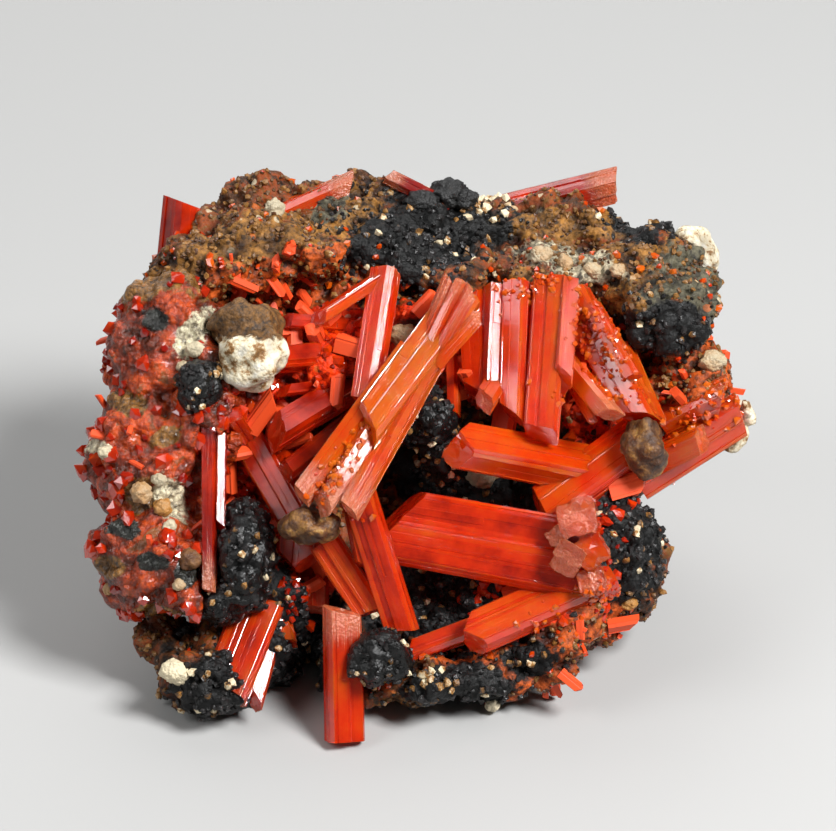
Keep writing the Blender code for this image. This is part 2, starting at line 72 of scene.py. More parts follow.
MM = 0.001
FACE_LEAN = math.radians(32.0)
FACE_TO_WORLD = Matrix.Rotation(math.radians(90.0) - FACE_LEAN, 3, "X")
FACE_MIDDLE = Vector((0.0, -2.2, 15.7)) * MM

# The photograph's width in pixels. In millimetres: how much of the face one pixel shows, how far up
# the face the camera looks, and how wide its sensor is. Half the floor's side is in metres
PICTURE_WIDTH = 836
PIXEL = 0.075
VIEW_UP = 2.36
SENSOR = 36.0
FLOOR_HALF = 3.0

# The clay knob is stained above this height on the face, and patches end this far behind the face
STAIN_UP = 7.2
DEEPEST_PATCH = -11.0

FLOAT = "NodeSocketFloat"
VECTOR = "NodeSocketVector"

# Where the random choices of each group of pieces start
VUG_SEED = 100
OUTER_SEED = 200
SMALL_SEED = 400
PEBBLE_SEED = 61
CRUMB_SEED = 21

# The outline of a crystal's cross-section, for half its width and half its thickness
STEPPED_SECTION = (
    (-1.0, -0.6), (-0.8, -1.0), (0.1, -1.0), (0.18, -0.84), (0.84, -0.84), (1.0, -0.5),
    (1.0, 0.5), (0.8, 0.95), (-0.8, 0.95), (-1.0, 0.5),
)
PLAIN_SECTION = ((-1.0, -0.35), (-0.66, -0.95), (0.8, -1.0), (1.0, 0.4), (0.66, 1.0), (-0.82, 0.92))

# A crystal at least so wide has the stepped section. Every crystal's tip is this share of its foot
WIDE = 2.3
TAPER = 0.95

# Strips of a crystal's side are no narrower than the first, each stops short of its neighbours by
# twice the second, and its depth changes over the third. The fourth is the size of an end's roughness
NARROWEST_STRIP = 0.04 * MM
STEP_WIDTH = 0.012 * MM
TERRACE_STEP = 0.02 * MM
HACKLE_LENGTH = 0.7 * MM

# How a crystal ends: planes, each turned from square by two angles in degrees and set back by a
# share of the crystal's width
ENDS = {
    "broken": ((14.0, 6.0, 0.0),),
    "slant": ((36.0, 12.0, 0.0),),
    "chisel": ((44.0, 0.0, 0.1), (-36.0, 8.0, 0.1)),
}

# A crystal: foot and tip on the face in millimetres, its width, thickness and roll, how it ends,
# how bright it is from deep red at 0 to yellow-orange at 1, and how far its end is etched
Crystal = namedtuple("Crystal", "foot tip width thickness roll end tone etch", defaults=(0.3,))

VUG_CRYSTALS = (
    # The great slab across the lower half, and the etched ends beside it that face out
    ((13.0, -8.4, 4.2), (-2.2, -5.7, 4.6), 5.9, 3.4, 0.0, "slant", 0.30, 0.2),
    ((12.3, -5.3, -2.0), (11.6, -5.1, 8.3), 3.1, 3.0, 12.0, "broken", 0.6, 0.45),
    ((13.0, -7.8, -2.0), (12.6, -7.5, 7.9), 2.7, 2.8, 34.0, "broken", 0.6, 0.45),
    ((11.4, -8.4, -1.0), (10.9, -8.1, 8.5), 2.6, 2.5, 60.0, "slant", 0.5, 1.0),
    ((13.4, -10.0, -1.0), (12.7, -9.7, 7.4), 2.3, 2.2, 15.0, "broken", 0.6, 0.45),
    ((10.6, -6.6, 2.0), (10.2, -6.5, 7.5), 1.8, 1.6, 40.0, "slant", 0.5, 1.0),
    # The blades under the slab
    ((14.2, -9.4, 3.6), (3.0, -14.2, 6.2), 3.3, 2.2, 30.0, "chisel", 0.42, 0.0),
    ((7.6, -12.2, 2.4), (-0.8, -15.2, 4.6), 1.8, 1.3, 30.0, "slant", 0.45),
    # The long spray: its middle, the three columns of its lower end and the fan of its upper end
    ((3.4, 11.2, 2.6), (-3.7, 1.6, 7.9), 2.9, 2.4, 14.0, "slant", 0.85, 0.2),
    ((-0.6, 7.2, 4.6), (-8.5, -3.5, 8.7), 1.7, 1.8, 24.0, "broken", 0.66, 0.9),
    ((0.2, 6.8, 5.0), (-6.9, -4.1, 9.2), 1.7, 2.0, -12.0, "slant", 0.7, 0.9),
    ((1.0, 6.2, 5.0), (-5.0, -4.6, 9.0), 1.6, 1.9, 30.0, "broken", 0.72, 0.8),
    ((0.0, 6.8, 4.6), (2.3, 12.5, 4.5), 0.9, 1.5, 20.0, "slant", 0.6, 1.0),
    ((0.6, 6.8, 5.0), (3.2, 12.3, 5.1), 0.8, 1.4, -25.0, "broken", 0.62, 1.0),
    ((1.0, 6.6, 5.2), (3.9, 11.6, 5.4), 0.9, 1.4, 30.0, "slant", 0.6, 1.0),
    ((1.3, 6.2, 5.2), (4.7, 9.9, 5.8), 1.2, 1.4, 10.0, "chisel", 0.66, 1.0),
    # The column that passes in front of the slab's end, and the wedge beside it
    ((-5.2, -0.8, 7.0), (-1.2, -13.4, 5.6), 2.5, 2.0, 16.0, "broken", 0.35),
    ((-5.2, -2.2, 6.4), (-3.9, -8.8, 5.6), 1.5, 1.6, -10.0, "slant", 0.35),
    ((-6.9, -7.0, 4.2), (-3.5, -12.2, 5.0), 2.4, 1.6, 10.0, "broken", 0.45),
    # The upright columns right of the middle
    ((10.0, 12.4, 0.4), (9.1, 1.0, 4.9), 2.7, 2.8, 8.0, "broken", 0.5),
    ((11.2, 12.2, 0.8), (10.6, 4.9, 4.2), 1.6, 2.6, -12.0, "slant", 0.5),
    ((7.5, 12.2, 0.4), (7.1, 2.3, 3.9), 2.0, 2.2, 24.0, "slant", 0.42),
    ((5.8, 12.0, 0.2), (5.4, 4.4, 3.0), 1.7, 1.8, -20.0, "broken", 0.4),
    ((4.0, 11.6, -0.4), (4.4, 4.0, 2.4), 2.1, 1.8, 16.0, "slant", 0.4),
    ((2.6, 8.4, -1.0), (2.7, 2.4, 2.6), 0.9, 1.0, 30.0, "broken", 0.45),
    ((7.0, 6.6, -1.0), (4.9, 3.4, 5.2), 1.9, 1.5, 20.0, "slant", 0.55, 0.5),
    # The beam that lies below them
    ((13.4, -1.8, 0.6), (2.0, 0.4, 6.4), 3.3, 3.0, 40.0, "chisel", 0.6),
    # The blades and rods on the right
    ((11.6, 11.4, -0.8), (16.4, 2.2, 3.6), 2.7, 2.2, 16.0, "slant", 0.5, 0.2),
    ((13.0, 10.6, 1.2), (16.0, 5.2, 4.3), 1.2, 1.3, 30.0, "broken", 0.6),
    ((10.8, 6.8, 0.4), (14.2, 2.4, 6.2), 1.6, 1.6, 28.0, "slant", 0.7, 0.8),
    ((10.9, 5.6, 0.6), (13.0, 1.8, 4.4), 0.8, 0.9, 10.0, "chisel", 0.7, 0.4),
    ((15.2, 7.4, 0.0), (17.4, 2.0, 3.3), 1.8, 1.7, 35.0, "broken", 0.6),
    ((17.0, 0.8, 0.8), (9.2, -4.8, 2.8), 3.9, 2.7, 34.0, "broken", 0.48),
    # The beams and blades on the left
    ((-2.4, 13.2, 0.4), (-3.9, 3.3, 4.4), 2.0, 1.9, 36.0, "broken", 0.42),
    ((-2.0, 13.2, 0.0), (-7.4, 9.6, 2.6), 1.1, 2.0, -14.0, "slant", 0.4, 0.4),
    ((-3.4, 9.0, -2.4), (-9.7, 9.4, 2.3), 1.3, 1.3, 10.0, "broken", 0.25),
    ((-3.2, 7.2, -2.6), (-10.6, 6.5, 3.2), 1.9, 2.0, 26.0, "broken", 0.2),
    ((-3.6, 5.0, -2.6), (-10.0, 4.2, 2.8), 1.0, 1.2, 10.0, "slant", 0.2),
    ((-2.8, 6.0, -3.4), (-10.5, 1.1, 4.2), 2.4, 2.6, 22.0, "slant", 0.18),
    ((-4.2, 2.6, -3.0), (-9.9, -1.9, 3.2), 1.7, 1.8, 12.0, "broken", 0.2),
    ((-14.4, 3.6, 0.4), (-9.3, -5.3, 3.3), 2.5, 1.5, 4.0, "broken", 0.22, 0.2),
    ((-12.2, 4.4, -2.4), (-8.0, -5.6, 1.6), 2.2, 1.6, 22.0, "broken", 0.22, 0.2),
    ((-12.0, -0.4, -0.6), (-13.7, 2.4, 4.7), 1.5, 1.3, 0.0, "broken", 0.3, 0.2),
    # The short ones at the lower left
    ((-8.6, -3.8, 1.6), (-9.1, -9.4, 3.8), 3.3, 1.8, 8.0, "chisel", 0.22),
    ((-8.0, -6.4, -0.6), (-7.7, -12.1, 2.4), 2.3, 1.4, 6.0, "broken", 0.12, 0.5),
    ((-9.3, -8.0, -0.4), (-9.3, -12.3, 2.9), 0.8, 0.9, 20.0, "broken", 0.15),
    ((-11.4, -8.0, -0.6), (-9.6, -14.6, 2.8), 1.4, 1.6, 4.0, "broken", 0.5),
    ((-12.4, -8.2, -0.6), (-10.8, -14.8, 2.6), 1.4, 1.6, 24.0, "slant", 0.5),
)

# Crystals that grew outside the vug, each group in one piece
OUTER_CRYSTALS = {
    "front_crystal": (((-5.4, -21.6, 5.4), (-5.6, -12.0, 6.0), 2.8, 2.6, 15.0, "broken", 0.3, 1.0),),
    "left_twin_crystal": (
        ((-15.4, 1.4, 5.0), (-15.3, -10.6, 6.4), 1.1, 1.5, 10.0, "broken", 0.1, 1.0),
        ((-14.6, 1.0, 4.6), (-14.6, -5.8, 5.9), 0.9, 1.2, -10.0, "slant", 0.1, 0.2),
    ),
    "lower_left_crystal": (
        ((-11.2, -10.4, 2.0), (-14.2, -18.0, 5.4), 3.8, 2.0, 12.0, "broken", 0.4, 0.5),
        ((-10.6, -12.4, 2.4), (-12.2, -18.6, 4.8), 1.8, 1.5, -20.0, "slant", 0.4, 0.4),
    ),
    "right_edge_crystals": (
        ((16.4, -2.5, -1.6), (24.3, 2.5, -0.8), 3.2, 2.8, 20.0, "broken", 0.52, 0.4),
        ((18.6, 1.8, -1.0), (22.8, 3.8, 0.6), 2.6, 2.4, 36.0, "slant", 0.55, 0.5),
        ((18.0, -1.0, -0.6), (21.2, 0.6, 1.4), 2.2, 2.0, 10.0, "broken", 0.6, 0.5),
    ),
    "rear_left_crystal": (((-18.6, 10.4, -7.4), (-17.8, 18.6, -6.6), 3.3, 2.8, 40.0, "broken", 0.2, 0.2),),
    "rear_right_crystal": (((6.6, 18.0, -10.6), (15.3, 20.2, -10.0), 2.5, 2.8, 30.0, "broken", 0.15, 1.0),),
    "rear_pink_crystal": (((-11.2, 17.2, -6.2), (-5.2, 20.0, -7.2), 2.0, 2.4, 20.0, "slant", 0.4, 1.0),),
    "rear_grey_crystal": (((2.4, 18.2, -7.6), (-2.4, 20.6, -7.6), 1.3, 1.8, 20.0, "broken", 0.1, 1.0),),
}

# Small lumps that sit on each skin: across, up, radius and tone, which goes from black at 0 through
# brown and ochre to white at 1
PEBBLES = {
    "left_crust_fine": (
        (-20.8, -3.5, 0.85, 0.62), (-18.4, -4.5, 0.75, 0.5), (-18.8, -2.7, 0.6, 0.8),
        (-17.9, -5.6, 0.6, 0.86), (-16.8, -7.8, 0.8, 0.3), (-18.0, -9.9, 0.55, 0.7),
        (-23.4, -0.6, 0.6, 0.9), (-16.7, 7.6, 0.6, 0.85), (-17.2, 6.4, 0.5, 0.75), (-23.2, -11.0, 0.5, 0.6),
    ),
    "gossan_fine": (
        (-14.0, 9.3, 0.7, 0.6), (-1.1, 8.2, 1.1, 0.66), (4.5, -1.9, 0.9, 0.8), (5.6, -1.7, 0.7, 0.6),
        (-10.8, 18.4, 0.9, 0.8), (8.6, 14.6, 0.7, 0.8), (9.8, 14.6, 0.8, 0.7), (11.4, 14.2, 0.7, 0.66),
        (13.2, 13.6, 0.7, 0.74), (14.6, 13.0, 0.6, 0.7), (22.4, 6.6, 0.9, 0.7), (16.0, -12.0, 0.6, 0.5),
        # The white pebble at -18.0, -16.1 is a painted highlight: a white lump set where a crystal face shows
        # a bright glint.
        (5.6, -19.6, 0.6, 0.85), (-18.0, -16.1, 1.0, 1.1), (0.4, 19.2, 1.2, 0.0), (2.2, 19.7, 1.4, 0.0),
        (3.9, 19.1, 1.1, 0.0),
    ),
}

# Where massive crocoite lines the wall of the vug: across, up, out and the three half sizes
LINED = (
    ((4.0, 7.2, 1.0), (11.0, 4.2, 6.0)),
    ((-7.0, 7.4, -1.0), (6.0, 3.6, 6.0)),
    ((14.4, 3.0, 0.0), (4.0, 6.6, 6.0)),
    ((12.6, -6.0, 0.6), (3.4, 5.4, 5.0)),
    ((8.6, -11.6, 2.4), (5.0, 2.8, 3.6)),
    ((-12.6, -0.5, -1.0), (3.6, 7.0, 6.0)),
    ((-9.6, -9.0, 0.0), (3.4, 4.6, 4.2)),
)

# Patches as they face the front, in the colours of the rock's settings. Beaded ones carry cream grains,
# and dusted ones the small crystals that lie on the large ones
Patch = namedtuple("Patch", "across up half_width half_height turn", defaults=(0.0,))
PATCHES = {
    "ochre": (
        (-5.0, 17.5, 1.7, 2.1), (7.7, 12.5, 0.8, 0.8), (16.6, 12.8, 2.2, 2.4), (21.6, 8.6, 1.4, 0.8),
        (-12.0, 14.6, 6.0, 2.2, 14.0), (12.0, 16.8, 4.0, 1.0), (1.2, -18.6, 3.4, 0.9, 8.0),
        (-20.5, -3.4, 1.1, 1.1), (-19.6, 12.4, 2.6, 0.9, 20.0), (-21.6, 3.2, 1.3, 0.7, -20.0),
        (-18.6, 0.8, 1.0, 0.6, 30.0), (-22.8, -8.8, 0.9, 0.7), (-18.9, -12.4, 1.6, 0.6, -15.0),
        (-14.6, 12.0, 1.4, 0.9),
    ),
    "rust": (
        (-9.0, 12.4, 8.0, 1.8, 10.0), (7.0, -15.0, 6.0, 1.6, 20.0), (12.8, -12.6, 2.2, 2.4),
        (8.0, -18.0, 4.6, 1.5, 16.0), (20.0, 5.4, 3.0, 2.4),
    ),
    "clay": (
        (11.5, 14.0, 3.6, 1.0, -14.0), (5.6, -18.4, 0.6, 0.4), (-18.3, -3.6, 0.9, 1.5, 30.0),
        (-16.6, 8.4, 0.8, 1.6, -30.0), (-23.6, -0.2, 0.8, 0.6),
    ),
    "green": (
        (-6.8, 18.2, 1.2, 1.5), (20.2, 11.6, 2.8, 2.8), (15.0, -6.6, 0.5, 0.5),
    ),
    "black": (
        (-0.4, 15.4, 3.8, 2.8), (4.4, 16.8, 2.6, 1.4), (2.3, 19.9, 2.8, 1.5), (17.5, 17.2, 2.3, 1.4),
        (15.6, -7.0, 2.1, 3.8), (7.5, 9.2, 0.9, 0.7), (5.0, -2.0, 6.0, 3.0), (1.7, -10.8, 6.0, 3.6),
        (-9.5, -15.4, 4.4, 4.4), (3.4, -17.6, 3.2, 1.5, 6.0), (8.2, -15.8, 1.9, 1.1, 14.0),
        (-15.0, -18.0, 2.4, 2.4), (18.2, 9.0, 2.6, 1.6), (-19.6, 9.6, 0.9, 0.7), (-21.6, -6.0, 1.1, 0.6),
        (-19.4, -8.4, 1.0, 0.5), (-17.0, -9.2, 0.7, 1.0), (-17.6, -14.0, 0.8, 0.5),
    ),
    "beaded": (
        (4.8, 19.0, 1.9, 1.1),
    ),
    "dusted": (
        (8.2, 12.3, 1.8, 0.9), (13.4, 7.6, 1.3, 3.4, 28.0), (13.6, -11.4, 1.6, 1.4),
        (-5.8, -1.6, 0.9, 2.2, -30.0), (21.4, 3.6, 2.6, 2.0),
    ),
}


def length_setting(name, description, default, least=0.0):
    """A size that the user can change, from millimetres."""
    return bpy.props.FloatProperty(
        name=name, description=description, default=default * MM, min=least * MM, subtype="DISTANCE",
        unit="LENGTH")


def colour_setting(name, description, default):
    return bpy.props.FloatVectorProperty(
        name=name, description=description, default=default, size=3, min=0.0, max=1.0, subtype="COLOR")


def light_setting(name, description, default, unit="POWER"):
    return bpy.props.FloatProperty(name=name, description=description, default=default, min=0.0, unit=unit)


class CrystalSettings(bpy.types.PropertyGroup):
    """Sizes and colours of the crystals."""

    strip: length_setting("Strip width", "Mean width of the long steps on a crystal's sides", 0.27, 0.05)
    ledge: length_setting("Ledge depth", "How deep the deepest lengthwise step is", 0.09)
    terrace: length_setting(
        "Terrace length", "Mean length along a crystal before a step changes its depth", 2.2, 0.2)
    hackle: length_setting("Hackle", "How rough an etched end is", 0.28)
    deep: colour_setting("Deep red", "Colour of the darkest crystals", (0.40, 0.008, 0.001))
    red: colour_setting("Orange-red", "Colour of most crystals", (0.95, 0.045, 0.002))
    orange: colour_setting("Orange", "Colour of the lighter crystals", (1.0, 0.115, 0.004))
    bright: colour_setting("Bright orange", "Colour of the brightest crystals", (1.0, 0.21, 0.008))
    pale: colour_setting("Etched pink", "Colour of etched ends", (1.0, 0.31, 0.12))


class RockSettings(bpy.types.PropertyGroup):
    """Sizes and colours of the gossan, the crust and the lumps."""

    voxel: length_setting("Skin step", "Spacing of the points on the gossan's skin", 0.3, 0.2)
    fine_voxel: length_setting("Fine skin step", "Spacing of the points on the crust and the lumps", 0.2, 0.1)
    swell: length_setting("Swell", "How far the skins stand proud of the solids, to close their gaps", 0.2)
    lining: length_setting("Lining", "Thickness of the massive crocoite on the vug's wall", 1.0)
    brown: colour_setting("Brown", "Colour of the iron oxide", (0.10, 0.038, 0.013))
    ochre: colour_setting("Ochre", "Colour of the earthy limonite", (0.28, 0.125, 0.026))
    rust: colour_setting("Rust", "Colour where crocoite stains the rock", (0.50, 0.09, 0.014))
    black: colour_setting("Black", "Colour of the manganese oxide", (0.007, 0.007, 0.007))
    clay: colour_setting("Clay", "Colour of the pale clay", (0.72, 0.62, 0.42))
    green: colour_setting("Grey-gold", "Colour of the boulder at the right", (0.11, 0.098, 0.062))
    grain: length_setting("Grain size", "Size of the largest grains on the gossan", 0.62, 0.1)
    seed: bpy.props.IntProperty(name="Seed", description="Start of the skins' random relief", default=11)


class StageSettings(bpy.types.PropertyGroup):
    """The floor, the lights and the camera."""

    floor: colour_setting("Floor", "Colour of the plain floor", (0.40, 0.40, 0.395))
    key: light_setting("Key light", "Power of the soft light from the upper right", 2.6)
    fill: light_setting("Fill light", "Power of the soft light from the left", 0.55)
    rim: light_setting("Back light", "Power of the soft light from behind", 0.8)
    sky: light_setting("Surroundings", "Strength of the even light from all round", 0.07, "NONE")
    distance: length_setting("Camera distance", "From the camera to the middle of the face", 320.0, 100.0)


def on_face(across, up, out):
    """A point on the leaning face, from millimetres."""
    return FACE_MIDDLE + FACE_TO_WORLD @ (Vector((across, up, out)) * MM)


def face_places(points):
    """Where points are in the face's frame, in millimetres."""
    turn = np.array(FACE_TO_WORLD)
    return (points - np.array(FACE_MIDDLE)) @ turn / MM


def link(name, mesh):
    obj = bpy.data.objects.new(name, mesh)
    bpy.context.scene.collection.objects.link(obj)
    return obj


def settle(obj, slot, *nodes):
    """Makes a finished piece ride on the specimen and stand for its solids."""
    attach(obj, "root")
    if nodes:
        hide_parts(*nodes)
    return obj


def bake(obj):
    """Applies an object's modifiers to its mesh."""
    graph = bpy.context.evaluated_depsgraph_get()
    baked = bpy.data.meshes.new_from_object(obj.evaluated_get(graph))
    obj.modifiers.clear()
    spent, obj.data = obj.data, baked
    bpy.data.meshes.remove(spent)
    return obj


def join(tree, socket, value):
    """Gives an input a plain value or the socket that feeds it."""
    if isinstance(value, bpy.types.NodeSocket):
        tree.links.new(value, socket)
    else:
        socket.default_value = value


def node(tree, kind, inputs=None, **settings):
    """Adds a node. Its settings are its own properties; an input is a value or another's socket."""
    made = tree.nodes.new(kind)
    for key, value in settings.items():
        setattr(made, key, value)
    for key, value in (inputs or {}).items():
        join(tree, made.inputs[key], value)
    return made


def maths(tree, operation, first, second=0.5, third=0.5, clamp=False):
    made = node(tree, "ShaderNodeMath", {0: first, 1: second, 2: third}, operation=operation, use_clamp=clamp)
    return made.outputs[0]


def swung(tree, middle, waves, amount, clamp=False):
    """Moves a value up and down with noise."""
    return maths(tree, "MULTIPLY_ADD", maths(tree, "SUBTRACT", waves, 0.5), amount, middle, clamp)


def waves_over(tree, place, scale, detail, roughness=0.5, distortion=0.0):
    """Noise from 0 to 1 over a surface."""
    made = node(tree, "ShaderNodeTexNoise", {
        "Vector": place, "Scale": scale, "Detail": detail, "Roughness": roughness, "Distortion": distortion})
    return made.outputs["Fac"]


def shade(colour, share):
    """A colour made darker or lighter."""
    return tuple(min(1.0, share * c) for c in colour)


def mix(tree, share, first, second, blend="MIX"):
    made = node(tree, "ShaderNodeMix", data_type="RGBA", blend_type=blend)
    sockets = {socket.identifier: socket for socket in made.inputs}
    for key, value in (("Factor_Float", share), ("A_Color", first), ("B_Color", second)):
        join(tree, sockets[key], (*value, 1.0) if isinstance(value, tuple) else value)
    return next(item for item in made.outputs if item.identifier == "Result_Color")


def stepped(tree, value, low, high):
    """Nought below low, one above high and smooth between."""
    made = node(tree, "ShaderNodeMapRange", {"Value": value, "From Min": low, "From Max": high},
                interpolation_type="SMOOTHSTEP")
    return made.outputs[0]


def new_group(name, inputs, output):
    """A shader node group: its tree, its inputs as sockets, and the socket of its one output."""
    tree = bpy.data.node_groups.new(name, "ShaderNodeTree")
    for label, kind, value in inputs:
        socket = tree.interface.new_socket(label, in_out="INPUT", socket_type=kind)
        if value is not None:
            socket.default_value = value
    tree.interface.new_socket(output, in_out="OUTPUT", socket_type=FLOAT)
    return tree, tree.nodes.new("NodeGroupInput").outputs, tree.nodes.new("NodeGroupOutput").inputs[0]


def ragged_edge_group():
    """Breaks the soft edge of a mask into ragged patches."""
    tree, given, out = new_group(
        "Ragged edge",
        (("Mask", FLOAT, 0.0), ("Place", VECTOR, None), ("Size", FLOAT, 700.0), ("Amount", FLOAT, 0.9)),
        "Mask")
    grain = waves_over(tree, given["Place"], given["Size"], 5.0, 0.65)
    pushed = swung(tree, given["Mask"], grain, given["Amount"])
    tree.links.new(stepped(tree, pushed, 0.4, 0.56), out)


def specks_group():
    """A mask of scattered specks of one size."""
    tree, given, out = new_group(
        "Specks", (("Place", VECTOR, None), ("Size", FLOAT, 1500.0), ("Share", FLOAT, 0.2)), "Mask")
    cells = node(tree, "ShaderNodeTexVoronoi", {"Vector": given["Place"], "Scale": given["Size"]}).outputs
    split = node(tree, "ShaderNodeSeparateColor", {"Color": cells["Color"]})
    chosen = maths(tree, "LESS_THAN", split.outputs["Red"], given["Share"])
    inside = stepped(tree, maths(tree, "MULTIPLY", cells["Distance"], -1.0), -0.5, -0.35)
    tree.links.new(maths(tree, "MULTIPLY", chosen, inside), out)


def grit_group():
    """The height of gritty rock: coarse lumps with sharp grains over them."""
    tree, given, out = new_group("Grit", (("Place", VECTOR, None), ("Size", FLOAT, 900.0)), "Height")
    lumps = waves_over(tree, given["Place"], given["Size"], 6.0, 0.7)
    finer = maths(tree, "MULTIPLY", given["Size"], 2.3)
    grains = node(tree, "ShaderNodeTexVoronoi", {"Vector": given["Place"], "Scale": finer})
    tree.links.new(maths(tree, "MULTIPLY_ADD", grains.outputs["Distance"], -0.6, lumps), out)


def group(tree, source, inputs):
    """Places a node group in a material, and gives its only output."""
    return node(tree, "ShaderNodeGroup", inputs, node_tree=bpy.data.node_groups[source]).outputs[0]


def new_material(name, **plain):
    """An empty material with a Principled shader: the material, its tree and the shader."""
    made = bpy.data.materials.new(name)
    made.use_nodes = True
    tree = made.node_tree
    shader = tree.nodes["Principled BSDF"]
    for key, value in plain.items():
        shader.inputs[key.replace("_", " ")].default_value = value
    return made, tree, shader


def attribute(tree, name):
    return node(tree, "ShaderNodeAttribute", attribute_name=name).outputs["Fac"]


def place_of(tree):
    return tree.nodes.new("ShaderNodeTexCoord").outputs["Object"]


def bump(tree, shader, height, distance, strength=1.0):
    made = node(tree, "ShaderNodeBump", {"Height": height, "Distance": distance, "Strength": strength})
    tree.links.new(made.outputs["Normal"], shader.inputs["Normal"])


def colours(settings, *names):
    return [tuple(getattr(settings, name)) for name in names]


def ramp(tree, value, stops):
    made = node(tree, "ShaderNodeValToRGB", {"Fac": value})
    elements = made.color_ramp.elements
    while len(elements) < len(stops):
        elements.new(0.5)
    for element, (position, colour) in zip(elements, stops):
        element.position = position
        element.color = (*colour, 1.0)
    return made.outputs["Color"]


def crocoite_material(settings, name="crocoite", lengthwise=True, clear=0.55, glow=0.5, depth=1.0):
    """Translucent orange-red crystal with a high gloss, fine streaks along it and paler etched ends.
    depth darkens the colours where they can't darken by being clear."""
    made, tree, shader = new_material(
        name, IOR=1.9, Specular_IOR_Level=0.45, Transmission_Weight=clear, Subsurface_Weight=glow,
        Subsurface_Scale=0.8 * MM, Subsurface_Radius=(1.0, 0.5, 0.3))
    place = place_of(tree)
    if lengthwise:
        along = node(tree, "ShaderNodeUVMap", uv_map="lengthwise").outputs["UV"]
        stretch = node(tree, "ShaderNodeMapping", {"Vector": along, "Scale": (9.0, 0.10, 1.0)}).outputs[0]
        streaks = waves_over(tree, stretch, 1.0, 6.0, 0.7)
        wear = {"Mask": attribute(tree, "etched"), "Place": stretch, "Size": 1.6, "Amount": 1.3}
    else:
        streaks = waves_over(tree, place, 1500.0, 4.0)
        wear = {"Mask": 0.1, "Place": place, "Size": 1300.0, "Amount": 1.2}
    tone = swung(tree, attribute(tree, "tone"), streaks, 0.16)
    tone = swung(tree, tone, waves_over(tree, place, 380.0, 4.0, 0.6), 1.1, clamp=True)
    deep, red, orange, bright, pale = colours(settings, "deep", "red", "orange", "bright", "pale")
    body = ramp(tree, tone, (
        (0.0, shade(deep, depth)), (0.36, shade(red, depth)), (0.68, shade(orange, depth)),
        (1.0, shade(bright, depth))))
    worn = group(tree, "Ragged edge", wear)
    colour = mix(tree, maths(tree, "MULTIPLY", worn, 0.6), body, pale)
    tree.links.new(colour, shader.inputs["Base Color"])
    gloss = maths(tree, "MULTIPLY_ADD", streaks, 0.14, 0.02, clamp=True)
    tree.links.new(maths(tree, "MULTIPLY_ADD", worn, 0.16, gloss), shader.inputs["Roughness"])
    grit = group(tree, "Grit", {"Place": place, "Size": 1900.0})
    height = maths(tree, "MULTIPLY_ADD", maths(tree, "MULTIPLY", grit, worn), 6.0, streaks)
    bump(tree, shader, height, 0.03 * MM, 0.8)
    if clear:
        inside = node(tree, "ShaderNodeVolumeAbsorption", {"Color": (1.0, 0.45, 0.10, 1.0), "Density": 70.0})
        tree.links.new(inside.outputs["Volume"], tree.nodes["Material Output"].inputs["Volume"])
    return made


def painted_pit_shade(tree, colour, depth):
    """Painted shade: darkens the colour where the relief lies low, in pits and crevices."""
    return mix(tree, depth, colour, ramp(tree, attribute(tree, "relief"), (
        (0.22, (0.10, 0.08, 0.07)), (0.52, (0.8, 0.8, 0.8)), (0.75, (1.0, 1.0, 1.0)))), blend="MULTIPLY")


def patched(tree, place, colour, patches):
    """Lays ragged patches over a colour, each a mask's name, its tint and how fine its edge is.
    Returns the colour and the last patch's mask."""
    for kind, tint, size in patches:
        mask = group(tree, "Ragged edge", {
            "Mask": attribute(tree, kind), "Place": place, "Size": size, "Amount": 1.5})
        varied = ramp(tree, waves_over(tree, place, 3.0 * size, 5.0, 0.7), (
            (0.36, shade(tint, 0.16)), (0.5, shade(tint, 0.8)), (0.66, shade(tint, 1.5))))
        colour = mix(tree, mask, colour, varied)
    return colour, mask


def roughen(tree, shader, place, sheen, grit_size, depth):
    """Makes a rock's surface gritty, and its roughness uneven. sheen is the noise's scale and detail,
    how far it moves the roughness, and the least roughness."""
    scale, detail, amount, least = sheen
    uneven = maths(tree, "MULTIPLY_ADD", waves_over(tree, place, scale, detail), amount, least, clamp=True)
    tree.links.new(uneven, shader.inputs["Roughness"])
    bump(tree, shader, group(tree, "Grit", {"Place": place, "Size": grit_size}), depth)


def crust_material(settings):
    """Glassy red-brown crust with patches of clay, ochre and black."""
    made, tree, shader = new_material(
        "crust", IOR=1.6, Specular_IOR_Level=0.3, Coat_Weight=0.2, Coat_Roughness=0.05)
    place = place_of(tree)
    ochre, clay = colours(settings, "ochre", "clay")
    colour = ramp(tree, waves_over(tree, place, 430.0, 7.0, 0.7, 0.5), (
        (0.32, (0.03, 0.010, 0.005)), (0.42, (0.13, 0.022, 0.006)), (0.50, (0.30, 0.032, 0.006)),
        (0.56, (0.60, 0.075, 0.008)), (0.62, (0.22, 0.06, 0.016)), (0.74, (0.40, 0.18, 0.07))))
    colour, _ = patched(tree, place, colour, (
        ("ochre", ochre, 700.0), ("clay", clay, 800.0), ("black", (0.02, 0.021, 0.016), 700.0)))
    # Painted shade darkens the crust's colour in its low places.
    tree.links.new(painted_pit_shade(tree, colour, 0.8), shader.inputs["Base Color"])
    roughen(tree, shader, place, (1300.0, 3.0, 0.9, -0.22), 1100.0, 0.25 * MM)
    return made


